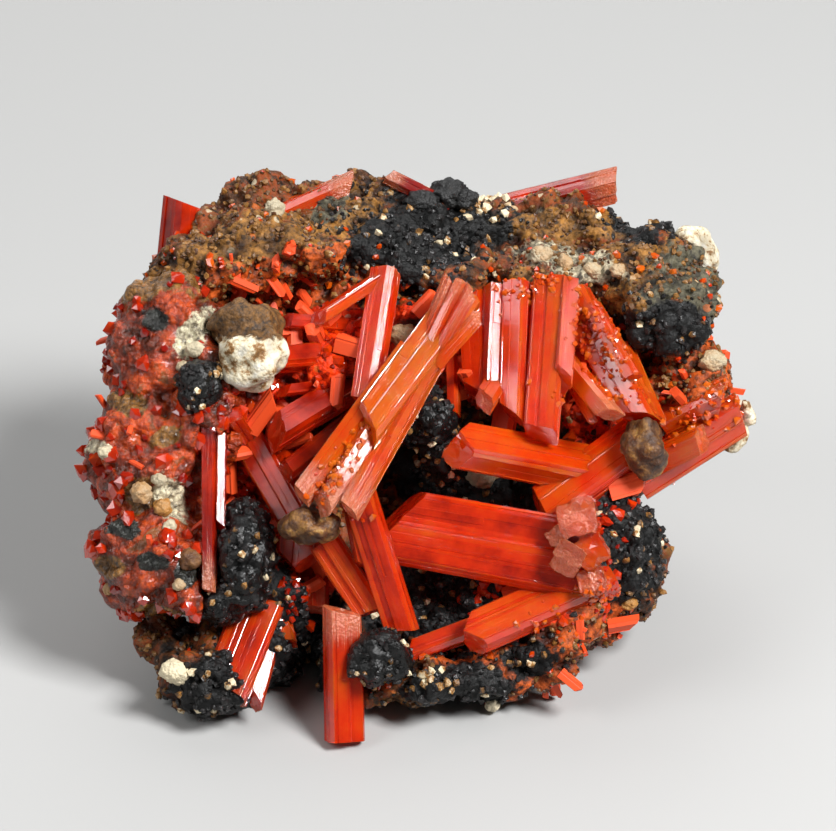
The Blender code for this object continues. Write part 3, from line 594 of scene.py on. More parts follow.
def gossan_material(settings, crystals):
    """Brown iron oxide in patches of ochre, rust, clay, grey-gold, crocoite and black, with specks."""
    made, tree, shader = new_material("gossan", Specular_IOR_Level=0.25)
    place = place_of(tree)
    brown, ochre, rust = colours(settings, "brown", "ochre", "rust")
    black, clay, green = colours(settings, "black", "clay", "green")
    colour = ramp(tree, waves_over(tree, place, 330.0, 8.0, 0.75, 0.8), (
        (0.36, shade(brown, 0.1)), (0.46, brown), (0.52, shade(rust, 0.5)), (0.60, shade(ochre, 0.6)),
        (0.72, ochre)))
    colour, dark = patched(tree, place, colour, (
        ("ochre", ochre, 500.0), ("rust", rust, 500.0), ("clay", shade(clay, 0.6), 700.0),
        ("green", green, 700.0), ("lined", tuple(crystals.red), 500.0), ("black", black, 450.0)))
    light = maths(tree, "SUBTRACT", 1.0, dark)
    for size, share, tint in ((1500.0, 0.03, (0.60, 0.50, 0.34)), (1200.0, 0.05, (0.5, 0.12, 0.02)),
                              (1900.0, 0.2, (0.02, 0.014, 0.01))):
        specks = group(tree, "Specks", {"Place": place, "Size": size, "Share": share})
        seen = maths(tree, "MULTIPLY", specks, light)
        colour = mix(tree, maths(tree, "MULTIPLY", seen, 0.75), colour, tint)
    # Painted shade darkens the gossan's colour in its low places.
    tree.links.new(painted_pit_shade(tree, colour, 1.0), shader.inputs["Base Color"])
    roughen(tree, shader, place, (1400.0, 2.0, 0.7, 0.12), 1000.0, 0.22 * MM)
    return made


def rock_material(name, stops, roughness, grit_size, depth, toned=False, stain=None, **plain):
    """One kind of rock: a ramp of colours over noise, with grit. toned adds the random tone that each
    grain carries, and stain colours the part that its mask marks."""
    made, tree, shader = new_material(name, **plain)
    place = place_of(tree)
    value = waves_over(tree, place, 900.0, 7.0, 0.7)
    if toned:
        value = swung(tree, attribute(tree, "tone"), value, 0.5)
    colour = ramp(tree, value, stops)
    if stain:
        colour, _ = patched(tree, place, colour, (("stained", shade(stain, 0.6), 700.0),))
    # Lumps that aren't toned get painted shade in their low places.
    tree.links.new(colour if toned else painted_pit_shade(tree, colour, 0.7), shader.inputs["Base Color"])
    roughen(tree, shader, place, (1700.0, 2.0, 0.4, roughness - 0.2), grit_size, depth)
    return made


class Draft:
    """A mesh in the making, with the values that its material reads."""

    def __init__(self):
        self.points = []
        self.faces = []
        self.tones = []
        self.etched = []
        self.along = []

    def mesh(self, name):
        made = bpy.data.meshes.new(name)
        made.from_pydata(self.points, [], self.faces)
        corners = made.uv_layers.new(name="lengthwise").data
        order = [index for face in self.faces for index in face]
        corners.foreach_set("uv", np.array([self.along[index] for index in order]).ravel())
        store(made, "tone", self.tones)
        store(made, "etched", self.etched)
        return made


def strips_round(shape, settings, chance):
    """Points round a crystal's section in metres: where each is, which way its side faces and
    which strip it belongs to. Also gives the number of strips."""
    section = STEPPED_SECTION if shape.width >= WIDE else PLAIN_SECTION
    half = (shape.width / 2 * MM, shape.thickness / 2 * MM)
    corners = [Vector((x * half[0], y * half[1])) for x, y in section]
    points = []
    strip = 0
    for start, end in zip(corners, corners[1:] + corners[:1]):
        side = end - start
        facing = Vector((side.y, -side.x)).normalized()
        count = max(1, round(side.length / settings.strip * chance.uniform(0.7, 1.3)))
        cuts = sorted(chance.random() for _ in range(count - 1))
        edges = [0.0, *cuts, 1.0]
        for low, high in zip(edges, edges[1:]):
            if (high - low) * side.length < NARROWEST_STRIP and count > 1:
                continue
            inset = min(0.2 * (high - low), STEP_WIDTH / side.length)
            points.append((start + side * (low + inset), facing, strip))
            points.append((start + side * (high - inset), facing, strip))
            strip += 1
    return points, strip


def end_height(shape, point, length):
    """Where a crystal's end planes cut it, above a point of its section."""
    lowest = math.inf
    for about_thickness, about_width, back in ENDS[shape.end]:
        turn = Matrix.Rotation(math.radians(about_thickness), 3, "Y")
        facing = turn @ Matrix.Rotation(math.radians(about_width), 3, "X") @ Vector((0.0, 0.0, 1.0))
        top = length - back * shape.width * MM
        lowest = min(lowest, top - (facing.x * point.x + facing.y * point.y) / facing.z)
    return lowest


def crystal_axes(shape):
    """A crystal's own axes and foot: X across its width, Y through its thickness, Z along it."""
    foot = on_face(*shape.foot)
    along = (on_face(*shape.tip) - foot).normalized()
    out = FACE_TO_WORLD @ Vector((0.0, 0.0, 1.0))
    if abs(along.dot(out)) > 0.9:
        out = FACE_TO_WORLD @ Vector((0.0, 1.0, 0.0))
    side = along.cross(out).normalized()
    axes = Matrix((side, along.cross(side), along)).transposed()
    return Matrix.Translation(foot) @ axes.to_4x4() @ Matrix.Rotation(math.radians(shape.roll), 4, "Z")


def step_rows(chance, heights, depths, deepest):
    """The rows of points up a crystal's sides: each row's height and how deep each strip is there.
    The last row has no height, because it lies on the crystal's end."""
    rows = []
    for low, high in zip(heights, heights[1:]):
        rows.append((low, list(depths)))
        if high is None:
            rows.append((None, list(depths)))
            break
        rows.append((high - TERRACE_STEP, list(depths)))
        for strip in range(len(depths)):
            if chance.random() < 0.22:
                depths[strip] = deepest * chance.choice((0.0, 0.25, 0.5, 0.75, 1.0))
    return rows


def add_end(draft, shape, settings, chance, lift, length, rim, add):
    """A crystal's hackly end, inside the last row of its sides. rim holds that row's points and the
    number of the first in the draft."""
    last, first = rim
    count = len(last)
    spare = []
    for _ in range(round(1.6 * shape.width * shape.thickness * 4) + 6):
        pick = chance.choice(last)
        spare.append(pick * (chance.random() ** 0.6) * 0.94)
    ring = [(index, (index + 1) % count) for index in range(count)]
    flat, _, triangles, origins, _, _ = geometry.delaunay_2d_cdt(last + spare, ring, [], 1, 1e-7)
    known = {}
    for index, point in enumerate(flat):
        source = next((origin for origin in origins[index] if origin < count), None)
        if source is not None:
            known[index] = first + source
            continue
        hackle = noise.noise(Vector((point.x, point.y, 0.0)) / HACKLE_LENGTH + lift)
        rough = settings.hackle * (0.25 + shape.etch) * hackle
        known[index] = len(draft.points)
        add(point, end_height(shape, point, length) + rough - 0.03 * MM, 0.0, 0.2)
    for triangle in triangles:
        corners = [known[index] for index in triangle]
        if len(set(corners)) == 3:
            draft.faces.append(tuple(corners))


def add_crystal(draft, shape, settings, seed):
    """One crystal: its sides in lengthwise strips at different depths, and a hackly end."""
    chance = random.Random(seed)
    place = crystal_axes(shape)
    length = (Vector(shape.tip) - Vector(shape.foot)).length * MM
    thin = min(shape.width, shape.thickness) * MM
    deepest = min(settings.ledge, 0.07 * thin)
    section, strips = strips_round(shape, settings, chance)
    reach = length - 0.55 * max(shape.width, shape.thickness) * MM
    heights = sorted(chance.uniform(0.0, reach) for _ in range(max(1, round(reach / settings.terrace))))
    heights = [0.0, *[h for h in heights if h > 0.1 * MM], None]
    depths = [deepest * chance.choice((0.0, 0.0, 0.25, 0.5, 0.75, 1.0)) for _ in range(strips)]
    # Each strip's tone varies at random, and about one strip in sixteen is 0.18 lighter: a painted reflection
    # line along the crystal.
    strip_tones_and_glints = [chance.gauss(0.0, 0.05) + (0.18 if chance.random() < 0.06 else 0.0) for _ in range(strips)]
    rows = step_rows(chance, heights, depths, deepest)
    first = len(draft.points)
    count = len(section)
    lift = Vector((chance.random(), chance.random(), chance.random())) * 50.0

    def add(point, height, around, share, tint=0.0):
        draft.points.append(place @ Vector((point.x, point.y, height)))
        draft.along.append((around / MM + 13.0 * seed, height / MM))
        draft.tones.append(shape.tone + tint)
        near = max(0.0, 1.0 - (length - height) / (0.22 * length + 0.6 * MM))
        draft.etched.append(shape.etch * (0.25 + 0.55 * near + share))

    arounds = [0.0]
    for (before, _, _), (point, _, _) in zip(section, section[1:]):
        arounds.append(arounds[-1] + (point - before).length)
    last = []
    for height, depth in rows:
        for around, (point, facing, strip) in zip(arounds, section):
            inset = point - facing * depth[strip]
            grown = end_height(shape, inset, length) if height is None else height
            inset = inset * (1.0 + (TAPER - 1.0) * grown / length)
            # Each point takes its strip's random tone, or the painted reflection line of a lighter strip.
            add(inset, grown, around, 0.0, strip_tones_and_glints[strip])
            if height is None:
                last.append(inset)
    for row in range(len(rows) - 1):
        low, high = first + row * count, first + (row + 1) * count
        for index in range(count):
            after = (index + 1) % count
            draft.faces.append((low + index, low + after, high + after, high + index))
    draft.faces.append(tuple(first + index for index in reversed(range(count))))
    add_end(draft, shape, settings, chance, lift, length, (last, first + (len(rows) - 1) * count), add)


def make_crystals(name, shapes, settings, look, seed):
    """Several crystals as one piece."""
    draft = Draft()
    for index, shape in enumerate(shapes):
        add_crystal(draft, Crystal(*shape), settings, seed + index)
    made = draft.mesh(name + "_fine")
    for vertex in made.vertices:
        vertex.co.z = max(vertex.co.z, CAD_BOX[0].z)
    made.materials.append(look)
    return link(name + "_fine", made)


def small_crystals(host, mask, count, lengths, tones, seed):
    """Short crystals that stand on a skin where its mask is high, at random tilts."""
    chance = random.Random(seed)
    places, facing = points_of(host.data)
    spots = np.flatnonzero(mask_of(host, mask) > 0.6)
    found = []
    for _ in range(count):
        pick = spots[chance.randrange(len(spots))]
        lean = Vector([chance.gauss(0.0, 0.55) for _ in range(3)])
        along = (Vector(facing[pick]) + lean).normalized()
        length = chance.uniform(*lengths)
        width = length * chance.uniform(0.35, 0.8)
        ends = np.array([places[pick] - along * 0.6 * MM, places[pick] + along * length * MM])
        foot, tip = face_places(ends)
        found.append((
            tuple(foot), tuple(tip), width, width * chance.uniform(0.6, 1.0), chance.uniform(0.0, 90.0),
            chance.choice(tuple(ENDS)), chance.uniform(*tones), chance.uniform(0.1, 0.9)))
    return found


def noise_over(points, wavelength, seed):
    """Smooth noise from about -1 to 1 at each point."""
    start = Vector((seed * 7.3, seed * 3.1, seed * 5.7))
    return np.array([noise.noise(Vector(point) / wavelength + start) for point in points])


def bubbles_over(points, size, seed):
    """Round-topped bubbles packed side by side: their height from 0 to 1 at each point."""
    start = Vector((seed * 3.9, seed * 8.1, seed * 2.3))
    nearest = np.array([noise.voronoi(Vector(point) / size + start)[0][0] for point in points])
    return np.sqrt(np.clip(1.0 - (nearest / 0.75) ** 2, 0.0, 1.0))


def skin_of(name, source, voxel):
    """A finely divided copy of a CAD node's skin."""
    bm = bmesh.new()
    bm.from_mesh(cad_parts[source].data)
    bmesh.ops.remove_doubles(bm, verts=bm.verts, dist=0.001 * MM)
    mesh = bpy.data.meshes.new(name)
    bm.to_mesh(mesh)
    bm.free()
    mesh.materials.clear()
    obj = link(name, mesh)
    skin = obj.modifiers.new("skin", "REMESH")
    skin.mode = "VOXEL"
    skin.voxel_size = voxel
    return bake(obj)


def points_of(mesh):
    places = np.empty(len(mesh.vertices) * 3)
    mesh.vertices.foreach_get("co", places)
    facing = np.empty(len(mesh.vertices) * 3)
    mesh.vertices.foreach_get("normal", facing)
    return places.reshape(-1, 3), facing.reshape(-1, 3)


def store(mesh, name, values):
    """Keeps a value for each point of a mesh, for its material or its grains."""
    made = mesh.attributes.new(name, "FLOAT", "POINT")
    made.data.foreach_set("value", np.asarray(values, dtype=np.float32))


def mask_of(obj, name):
    """The values of a stored mask."""
    values = np.empty(len(obj.data.vertices), dtype=np.float32)
    obj.data.attributes[name].data.foreach_get("value", values)
    return values


def move(obj, places, smooth=True):
    obj.data.vertices.foreach_set("co", places.ravel())
    obj.data.polygons.foreach_set("use_smooth", [smooth] * len(obj.data.polygons))
    obj.data.update()


def patch_masks(places):
    """How much each kind of patch shows at each point, from 0 to 1."""
    face = face_places(places)
    masks = {}
    for kind, rows in PATCHES.items():
        masks[kind] = np.zeros(len(places))
        for patch in (Patch(*row) for row in rows):
            turn = math.radians(patch.turn)
            right = face[:, 0] - patch.across
            up = face[:, 1] - patch.up
            x = (right * math.cos(turn) + up * math.sin(turn)) / patch.half_width
            y = (up * math.cos(turn) - right * math.sin(turn)) / patch.half_height
            near = np.clip(1.25 - 0.62 * np.sqrt(x * x + y * y), 0.0, 1.0) * (face[:, 2] > DEEPEST_PATCH)
            masks[kind] = np.maximum(masks[kind], near)
    return masks


def lined_mask(places):
    """How much massive crocoite lines the vug's wall at each point, from 0 to 1."""
    face = face_places(places)
    found = np.zeros(len(places))
    for centre, radii in LINED:
        reach = np.sqrt((((face - np.array(centre)) / np.array(radii)) ** 2).sum(axis=1))
        found = np.maximum(found, np.clip((1.1 - reach) * 3.0, 0.0, 1.0))
    return found


def make_gossan(settings, look):
    """The gossan's skin, roughened by kind: bubbles on the black, ridges on the brown, and the
    crocoite lining pushed out of the vug's wall."""
    obj = skin_of("gossan_fine", "gossan_matrix", settings.voxel)
    places, facing = points_of(obj.data)
    masks = patch_masks(places)
    masks["lined"] = lined_mask(places)
    broad = noise_over(places, 2.6 * MM, settings.seed)
    ridges = 1.0 - 2.6 * np.abs(noise_over(places, 1.9 * MM, settings.seed + 1))
    fine = noise_over(places, 0.9 * MM, settings.seed + 2)
    bubbles = bubbles_over(places, 1.3 * MM, settings.seed + 3)
    height = (0.40 * broad + 0.50 * ridges + 0.50 * fine - 0.2) * MM
    dark = np.clip(masks["black"] * 2.0 - 0.7 + 0.6 * broad, 0.0, 1.0)
    height = height * (1.0 - dark) + dark * (0.8 * bubbles + 0.35 * fine - 0.35) * MM
    # The relief is kept for the painted shade that darkens the skin's low places.
    masks["relief"] = np.clip(0.5 + height / (1.5 * MM), 0.0, 1.0)
    height += settings.swell + settings.lining * masks["lined"]
    low = places[:, 2] < 1.0 * MM
    height = np.where(low, np.minimum(height, 0.0), height)
    places += facing * height[:, None]
    places[:, 2] = np.maximum(places[:, 2], CAD_BOX[0].z)
    move(obj, places)
    for kind, mask in masks.items():
        store(obj.data, kind, mask)
    obj.data.materials.append(look)
    return obj


def make_lump(name, source, settings, look, layers, bubble=0.0, smooth=True):
    """A lump's skin, roughened. layers are heights and wavelengths in millimetres."""
    obj = skin_of(name, source, settings.fine_voxel)
    places, facing = points_of(obj.data)
    height = np.zeros(len(places))
    for index, (tall, long) in enumerate(layers):
        height += tall * MM * noise_over(places, long * MM, settings.seed + index + len(name))
    if bubble:
        height += 0.5 * bubble * MM * (bubbles_over(places, bubble * MM, len(name)) - 0.4)
    # The relief is kept for the painted shade that darkens the skin's low places.
    store(obj.data, "relief", np.clip(0.5 + height / (4.0 * layers[0][0] * MM), 0.0, 1.0))
    height += settings.swell
    places += facing * height[:, None]
    places[:, 2] = np.maximum(places[:, 2], CAD_BOX[0].z)
    move(obj, places, smooth)
    obj.data.materials.append(look)
    return obj


def make_pebbles(name, look):
    """Small rough lumps, each set where its host's skin is nearest to the front."""
    chance = random.Random(PEBBLE_SEED)
    bm = bmesh.new()
    tones = []
    for host, pebbles in PEBBLES.items():
        places = points_of(bpy.data.objects[host].data)[0]
        face = face_places(places)
        for across, up, radius, tone in pebbles:
            aside = np.hypot(face[:, 0] - across, face[:, 1] - up)
            seat = Vector(places[np.argmax(np.where(aside < 0.5, face[:, 2], aside.min() - aside - 100.0))])
            made = bmesh.ops.create_icosphere(bm, subdivisions=4, radius=radius * MM)["verts"]
            stretch = Vector((chance.uniform(0.75, 1.2), chance.uniform(0.75, 1.2), chance.uniform(0.7, 1.0)))
            shift = seat * 900.0
            for vertex in made:
                broad = noise.noise(vertex.co * 1600.0 + shift)
                fine = noise.noise(vertex.co * 4200.0 + shift)
                vertex.co = seat + (vertex.co * stretch) * (1.0 + 0.34 * (broad + 0.5 * fine))
            tones += [tone] * len(made)
    mesh = bpy.data.meshes.new(name)
    bm.to_mesh(mesh)
    bm.free()
    store(mesh, "tone", tones)
    mesh.polygons.foreach_set("use_smooth", [True] * len(mesh.polygons))
    mesh.materials.append(look)
    return link(name, mesh)


def crumb_mesh(name, seed):
    """A small angular grain about one unit across."""
    chance = random.Random(seed)
    bm = bmesh.new()
    bmesh.ops.create_icosphere(bm, subdivisions=1, radius=0.5)
    for vertex in bm.verts:
        vertex.co *= chance.uniform(0.62, 1.15)
    stretch = Vector((chance.uniform(0.8, 1.2), chance.uniform(0.8, 1.2), chance.uniform(0.6, 1.0)))
    bmesh.ops.scale(bm, vec=stretch, verts=bm.verts)
    bmesh.ops.recalc_face_normals(bm, faces=bm.faces)
    made = bpy.data.meshes.new(name)
    bm.to_mesh(made)
    bm.free()
    made.polygons.foreach_set("use_smooth", [False] * len(made.polygons))
    return made


def grain_tree():
    """Geometry nodes that strew grains over a skin, denser where a named mask is higher."""
    tree = bpy.data.node_groups.new("Strewn grains", "GeometryNodeTree")
    face = tree.interface
    face.new_socket("Geometry", in_out="INPUT", socket_type="NodeSocketGeometry")
    for label, kind, value in (
            ("Grains", "NodeSocketCollection", None), ("Mask", "NodeSocketString", ""),
            ("Per square metre", FLOAT, 1e6), ("Smallest", FLOAT, 0.2 * MM), ("Largest", FLOAT, 0.6 * MM),
            ("Darkest", FLOAT, 0.0), ("Lightest", FLOAT, 1.0), ("Seed", "NodeSocketInt", 1),
            ("Material", "NodeSocketMaterial", None)):
        socket = face.new_socket(label, in_out="INPUT", socket_type=kind)
        if value is not None:
            socket.default_value = value
    face.new_socket("Geometry", in_out="OUTPUT", socket_type="NodeSocketGeometry")
    given = tree.nodes.new("NodeGroupInput").outputs
    out = tree.nodes.new("NodeGroupOutput")

    def between(low, high):
        """A random value for each grain."""
        inputs = {2: given[low], 3: given[high], "Seed": given["Seed"]}
        return node(tree, "FunctionNodeRandomValue", inputs, data_type="FLOAT").outputs[1]

    mask = node(tree, "GeometryNodeInputNamedAttribute", {"Name": given["Mask"]}, data_type="FLOAT")
    thick = maths(tree, "MULTIPLY", mask.outputs["Attribute"], given["Per square metre"])
    strewn = node(tree, "GeometryNodeDistributePointsOnFaces", {
        "Mesh": given["Geometry"], "Density": thick, "Seed": given["Seed"]})
    grains = node(tree, "GeometryNodeCollectionInfo", {
        "Collection": given["Grains"], "Separate Children": True, "Reset Children": True})
    swing = node(tree, "FunctionNodeRandomValue", {
        0: (-3.2, -3.2, -3.2), 1: (3.2, 3.2, 3.2), "Seed": given["Seed"]}, data_type="FLOAT_VECTOR")
    turned = node(tree, "FunctionNodeRotateRotation", {
        "Rotation": strewn.outputs["Rotation"], "Rotate By": swing.outputs[0]}, rotation_space="LOCAL")
    placed = node(tree, "GeometryNodeInstanceOnPoints", {
        "Points": strewn.outputs["Points"], "Instance": grains.outputs[0], "Pick Instance": True,
        "Rotation": turned.outputs[0], "Scale": between("Smallest", "Largest")})
    toned = node(tree, "GeometryNodeStoreNamedAttribute", {
        "Geometry": placed.outputs["Instances"], "Name": "tone", "Value": between("Darkest", "Lightest")},
        data_type="FLOAT", domain="INSTANCE")
    real = node(tree, "GeometryNodeRealizeInstances", {"Geometry": toned.outputs["Geometry"]})
    coated = node(tree, "GeometryNodeSetMaterial", {
        "Geometry": real.outputs["Geometry"], "Material": given["Material"]})
    tree.links.new(coated.outputs["Geometry"], out.inputs["Geometry"])


def crumb_collection(count, seed):
    """A hidden collection of a few different crumbs, to be strewn."""
    held = bpy.data.collections.new("crumbs")
    for index in range(count):
        held.objects.link(bpy.data.objects.new(f"crumb_{index}", crumb_mesh(f"crumb_{index}", seed + index)))


def strew(name, host, mask, look, density, sizes, tones, seed):
    """Strews grains over a host's skin, and returns them as one plain mesh. density is per square
    millimetre and sizes are in millimetres."""
    obj = link(name, host.data)
    tree = bpy.data.node_groups["Strewn grains"]
    grains = obj.modifiers.new("grains", "NODES")
    grains.node_group = tree
    values = {
        "Grains": bpy.data.collections["crumbs"], "Mask": mask, "Per square metre": density / MM**2,
        "Smallest": sizes[0] * MM, "Largest": sizes[1] * MM, "Darkest": tones[0], "Lightest": tones[1],
        "Seed": seed, "Material": look}
    for socket in tree.interface.items_tree:
        if socket.in_out == "INPUT" and socket.name in values:
            grains[socket.identifier] = values[socket.name]
    graph = bpy.context.evaluated_depsgraph_get()
    made = bpy.data.meshes.new_from_object(obj.evaluated_get(graph))
    made.name = name
    obj.modifiers.clear()
    obj.data = made
    return obj


def mark_gossan(gossan, seed):
    """Stores where on the gossan each kind of grain may lie. None lies close to the floor."""
    places = points_of(gossan.data)[0]
    black, lined, rust = (mask_of(gossan, kind) for kind in ("black", "lined", "rust"))
    bare = np.clip(1.0 - 1.6 * black - lined, 0.0, 1.0) * (places[:, 2] > 1.2 * MM)
    clots = noise_over(places, 1.6 * MM, seed + 7)
    rusty = np.clip(rust + 0.3 * bare, 0.0, 1.0) * (1.0 - black) * (places[:, 2] > 1.5 * MM)
    rusty *= np.clip(4.0 * clots, 0.0, 1.0)
    for name, mask in (("bare", bare), ("sooty", black * (places[:, 2] > 0.8 * MM)), ("rusty", rusty)):
        store(gossan.data, name, mask)


class CROCOITE_OT_crystals(bpy.types.Operator):
    """Grow the long crystals of the vug and those outside it"""

    bl_idname = "crocoite.crystals"
    bl_label = "Crystals"

    def execute(self, context):
        settings = context.scene.crocoite_crystals
        look = crocoite_material(settings)
        piece = make_crystals("vug_crystals", VUG_CRYSTALS, settings, look, VUG_SEED)
        settle(piece, "crocoite", "vug_crystals")
        for index, (name, shapes) in enumerate(OUTER_CRYSTALS.items()):
            piece = make_crystals(name, shapes, settings, look, OUTER_SEED + 10 * index)
            settle(piece, "crocoite", name)
        return {"FINISHED"}


class CROCOITE_OT_gossan(bpy.types.Operator):
    """Give the gossan chunk its skin"""

    bl_idname = "crocoite.gossan"
    bl_label = "Gossan"

    def execute(self, context):
        scene = context.scene
        look = gossan_material(scene.crocoite_rock, scene.crocoite_crystals)
        settle(make_gossan(scene.crocoite_rock, look), "gossan", "gossan_matrix")
        return {"FINISHED"}


class CROCOITE_OT_lumps(bpy.types.Operator):
    """Give the crust and the lumps of clay, ochre and manganese their skins"""

    bl_idname = "crocoite.lumps"
    bl_label = "Crust and lumps"

    def execute(self, context):
        rock = context.scene.crocoite_rock
        brown, ochre, black, clay = colours(rock, "brown", "ochre", "black", "clay")
        crust = make_lump("left_crust_fine", "left_crust", rock, crust_material(rock),
                          ((0.45, 2.2), (0.35, 1.1), (0.2, 0.55)), smooth=False)
        masks = patch_masks(points_of(crust.data)[0])
        glassy = 1.0
        for kind in ("ochre", "clay", "black"):
            store(crust.data, kind, masks[kind])
            glassy = glassy - masks[kind]
        store(crust.data, "glassy", np.clip(glassy, 0.0, 1.0))
        settle(crust, "crust", "left_crust")
        pale_clay = rock_material("clay", (
            (0.30, shade(ochre, 0.3)), (0.42, ochre), (0.5, clay), (0.64, (0.86, 0.82, 0.7))),
            0.6, 1500.0, 0.14 * MM, stain=ochre)
        brown_knob = rock_material("ochre", (
            (0.32, shade(brown, 0.3)), (0.48, brown), (0.6, ochre), (0.78, (0.7, 0.45, 0.12))),
            0.5, 1500.0, 0.14 * MM)
        dark = rock_material("manganese", (
            (0.4, shade(black, 0.3)), (0.6, black), (0.75, (0.03, 0.03, 0.03))),
            0.32, 1700.0, 0.08 * MM, Specular_IOR_Level=0.35)
        for slot, look, layers, bubble, names in (
                ("clay", pale_clay, ((0.5, 1.9), (0.35, 0.8)), 0.0,
                 ("clay_knob", "clay_tip_right", "clay_cap_rear")),
                ("ochre", brown_knob, ((0.35, 1.4), (0.22, 0.6)), 0.0,
                 ("ochre_knob_right", "ochre_knob_front")),
                ("manganese", dark, ((0.4, 1.3), (0.2, 0.6)), 0.75,
                 ("manganese_left", "manganese_upper_left", "manganese_centre", "manganese_front"))):
            for name in names:
                piece = make_lump(name + "_fine", name, rock, look, layers, bubble)
                up = face_places(points_of(piece.data)[0])[:, 1]
                store(piece.data, "stained", np.clip((up - STAIN_UP) * 0.6 * (name == "clay_knob"), 0.0, 1.0))
                store(piece.data, "all", np.ones(len(up)))
                settle(piece, slot, name)
        return {"FINISHED"}


class CROCOITE_OT_grains(bpy.types.Operator):
    """Strew grains, pebbles and small crystals over the rock"""

    bl_idname = "crocoite.grains"
    bl_label = "Grains and druse"

    def execute(self, context):
        rock = context.scene.crocoite_rock
        crystals = context.scene.crocoite_crystals
        brown, ochre, black, clay = colours(rock, "brown", "ochre", "black", "clay")
        grain_tree()
        crumb_collection(6, CRUMB_SEED)
        mark_gossan(bpy.data.objects["gossan_fine"], rock.seed)
        for host in ("vug_crystals_fine", "right_edge_crystals_fine"):
            mesh = bpy.data.objects[host].data
            dusted = patch_masks(points_of(mesh)[0])["dusted"]
            store(mesh, "dusted", np.clip(2.0 * dusted - 0.6, 0.0, 1.0))
        for name, host, mask, count, lengths, tones, slot in (
                ("vug_small_crystals", "gossan_fine", "lined", 130, (1.0, 3.0), (0.05, 0.6), "crocoite"),
                ("ledge_small_crystals", "gossan_fine", "rusty", 64, (0.6, 1.6), (0.0, 0.25), "crocoite"),
                ("crust_small_crystals", "left_crust_fine", "glassy", 24, (0.6, 1.3), (0.0, 0.5), "crust")):
            shapes = small_crystals(bpy.data.objects[host], mask, count, lengths, tones, len(name))
            look = bpy.data.materials["crocoite"]
            settle(make_crystals(name, shapes, crystals, look, SMALL_SEED + len(name)), slot)
        pebbles = rock_material("pebbles", (
            (0.05, black), (0.25, brown), (0.5, shade(ochre, 1.5)), (0.8, shade(clay, 0.6)), (1.0, clay)),
            0.5, 1900.0, 0.14 * MM, toned=True)
        settle(make_pebbles("pebbles", pebbles), "clay")
        gravel = rock_material("gravel", (
            (0.0, shade(brown, 0.2)), (0.35, brown), (0.6, shade(ochre, 0.5)), (0.8, ochre), (0.97, clay)),
            0.45, 2400.0, 0.06 * MM, toned=True)
        cream = rock_material("beads", ((0.1, shade(ochre, 0.4)), (0.5, ochre), (0.9, clay)),
                              0.4, 2400.0, 0.03 * MM, toned=True)
        sooty = rock_material("sooty", (
            (0.0, shade(black, 0.3)), (0.88, (0.022, 0.02, 0.02)), (0.95, ochre), (1.0, clay)),
            0.3, 2400.0, 0.05 * MM, toned=True, Specular_IOR_Level=0.3)
        druse = crocoite_material(crystals, "druse", lengthwise=False, clear=0.0, glow=0.0, depth=0.5)
        small = (0.2, 0.7)
        every = (0.0, 1.0)
        for slot, look, rows in (
                ("gossan", gravel, (
                    ("gravel", "gossan_fine", "bare", 2.6, (0.25, rock.grain / MM), (0.0, 0.8), 3),)),
                ("manganese", cream, (
                    ("cream_grains", "gossan_fine", "beaded", 2.0, (0.3, 1.0), (0.2, 1.0), 4),)),
                ("manganese", sooty, (
                    ("black_grit", "gossan_fine", "sooty", 2.6, (0.3, 0.8), every, 8),
                    ("left_grit", "manganese_left_fine", "all", 1.2, (0.3, 0.7), every, 9),
                    ("front_grit", "manganese_front_fine", "all", 2.2, small, every, 10),
                    ("centre_grit", "manganese_centre_fine", "all", 2.2, small, every, 11),
                    ("upper_grit", "manganese_upper_left_fine", "all", 2.2, small, every, 12))),
                ("crocoite", druse, (
                    ("vug_druse", "gossan_fine", "lined", 1.2, (0.4, 1.2), (0.0, 0.4), 5),
                    ("rust_druse", "gossan_fine", "rusty", 1.4, (0.3, 0.9), (0.2, 0.9), 6))),
                ("crust", druse, (
                    ("crust_druse", "left_crust_fine", "glassy", 0.38, (0.6, 1.7), (0.0, 0.34), 7),)),
                ("crocoite", druse, (
                    ("vug_dusting", "vug_crystals_fine", "dusted", 5.0, small, (0.35, 0.9), 13),
                    ("edge_dusting", "right_edge_crystals_fine", "dusted", 3.0, (0.2, 0.8), (0.35, 0.9), 14),
                ))):
            for name, host, mask, density, sizes, tones, seed in rows:
                settle(strew(name, bpy.data.objects[host], mask, look, density, sizes, tones, seed), slot)
        return {"FINISHED"}


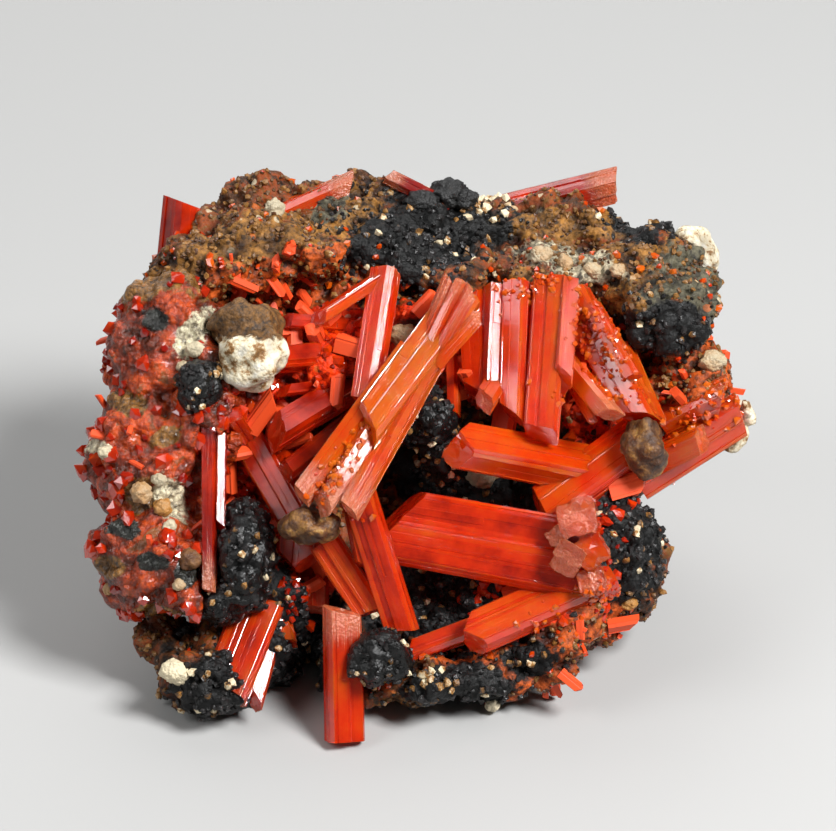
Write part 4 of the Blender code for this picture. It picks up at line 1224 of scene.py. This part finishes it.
class CROCOITE_OT_stage(bpy.types.Operator):
    """Lay the floor and set up the lights and the camera"""

    bl_idname = "crocoite.stage"
    bl_label = "Floor, lights and camera"

    def execute(self, context):
        scene = context.scene
        settings = scene.crocoite_stage
        bm = bmesh.new()
        bmesh.ops.create_grid(bm, x_segments=1, y_segments=1, size=FLOOR_HALF)
        mesh = bpy.data.meshes.new("floor")
        bm.to_mesh(mesh)
        bm.free()
        floor = link("floor", mesh)
        floor.location.z = CAD_BOX[0].z
        look, _, shader = new_material("floor", Roughness=0.9)
        shader.inputs["Base Color"].default_value = (*settings.floor, 1.0)
        mesh.materials.append(look)

        world = bpy.data.worlds.new("surroundings")
        scene.world = world
        world.use_nodes = True
        sky = world.node_tree.nodes["Background"].inputs
        sky["Color"].default_value = (1.0, 1.0, 1.0, 1.0)
        sky["Strength"].default_value = settings.sky

        middle = on_face(0.0, 0.0, 0.0)
        for name, place, size, power in (
                ("key", (0.20, -0.14, 0.30), 0.12, settings.key),
                ("fill", (-0.26, -0.10, 0.26), 0.2, settings.fill),
                ("rim", (-0.05, 0.26, 0.26), 0.34, settings.rim)):
            light = bpy.data.lights.new(name, "AREA")
            light.energy = power
            light.size = size
            lamp = link(name, light)
            lamp.location = place
            lamp.rotation_mode = "QUATERNION"
            lamp.rotation_quaternion = (middle - lamp.location).to_track_quat("-Z", "Y")

        seen = bpy.data.cameras.new("camera")
        camera = link("camera", seen)
        back = Vector((0.0, -math.cos(FACE_LEAN), math.sin(FACE_LEAN)))
        camera.location = on_face(0.0, VIEW_UP, 0.0) + back * settings.distance
        camera.rotation_mode = "QUATERNION"
        camera.rotation_quaternion = (-back).to_track_quat("-Z", "Y")
        seen.sensor_width = SENSOR
        seen.lens = SENSOR * settings.distance / (PICTURE_WIDTH * PIXEL * MM)
        seen.clip_start = 0.01
        seen.clip_end = 10.0
        scene.camera = camera
        scene.view_settings.view_transform = "Standard"
        return {"FINISHED"}


class CROCOITE_PT_panel(bpy.types.Panel):
    """Lists the steps that build the specimen"""

    bl_label = "Crocoite"
    bl_idname = "CROCOITE_PT_panel"
    bl_space_type = "VIEW_3D"
    bl_region_type = "UI"
    bl_category = "Crocoite"

    def draw(self, context):
        for step in STEPS:
            self.layout.operator(step.bl_idname)
        for label in ("crocoite_crystals", "crocoite_rock", "crocoite_stage"):
            settings = getattr(context.scene, label)
            box = self.layout.box()
            for key in settings.__annotations__:
                box.prop(settings, key)


STEPS = (CROCOITE_OT_crystals, CROCOITE_OT_gossan, CROCOITE_OT_lumps, CROCOITE_OT_grains, CROCOITE_OT_stage)
SETTINGS = {
    "crocoite_crystals": CrystalSettings,
    "crocoite_rock": RockSettings,
    "crocoite_stage": StageSettings,
}


def register():
    for made in (*SETTINGS.values(), *STEPS, CROCOITE_PT_panel):
        bpy.utils.register_class(made)
    for label, made in SETTINGS.items():
        setattr(bpy.types.Scene, label, bpy.props.PointerProperty(type=made))


def unregister():
    for label in SETTINGS:
        delattr(bpy.types.Scene, label)
    for made in reversed((*SETTINGS.values(), *STEPS, CROCOITE_PT_panel)):
        bpy.utils.unregister_class(made)


def main():
    register()
    for make_shared in (ragged_edge_group, specks_group, grit_group):
        make_shared()
    bpy.ops.crocoite.crystals()
    bpy.ops.crocoite.gossan()
    bpy.ops.crocoite.lumps()
    bpy.ops.crocoite.grains()
    bpy.ops.crocoite.stage()


if __name__ == "__main__":
    main()
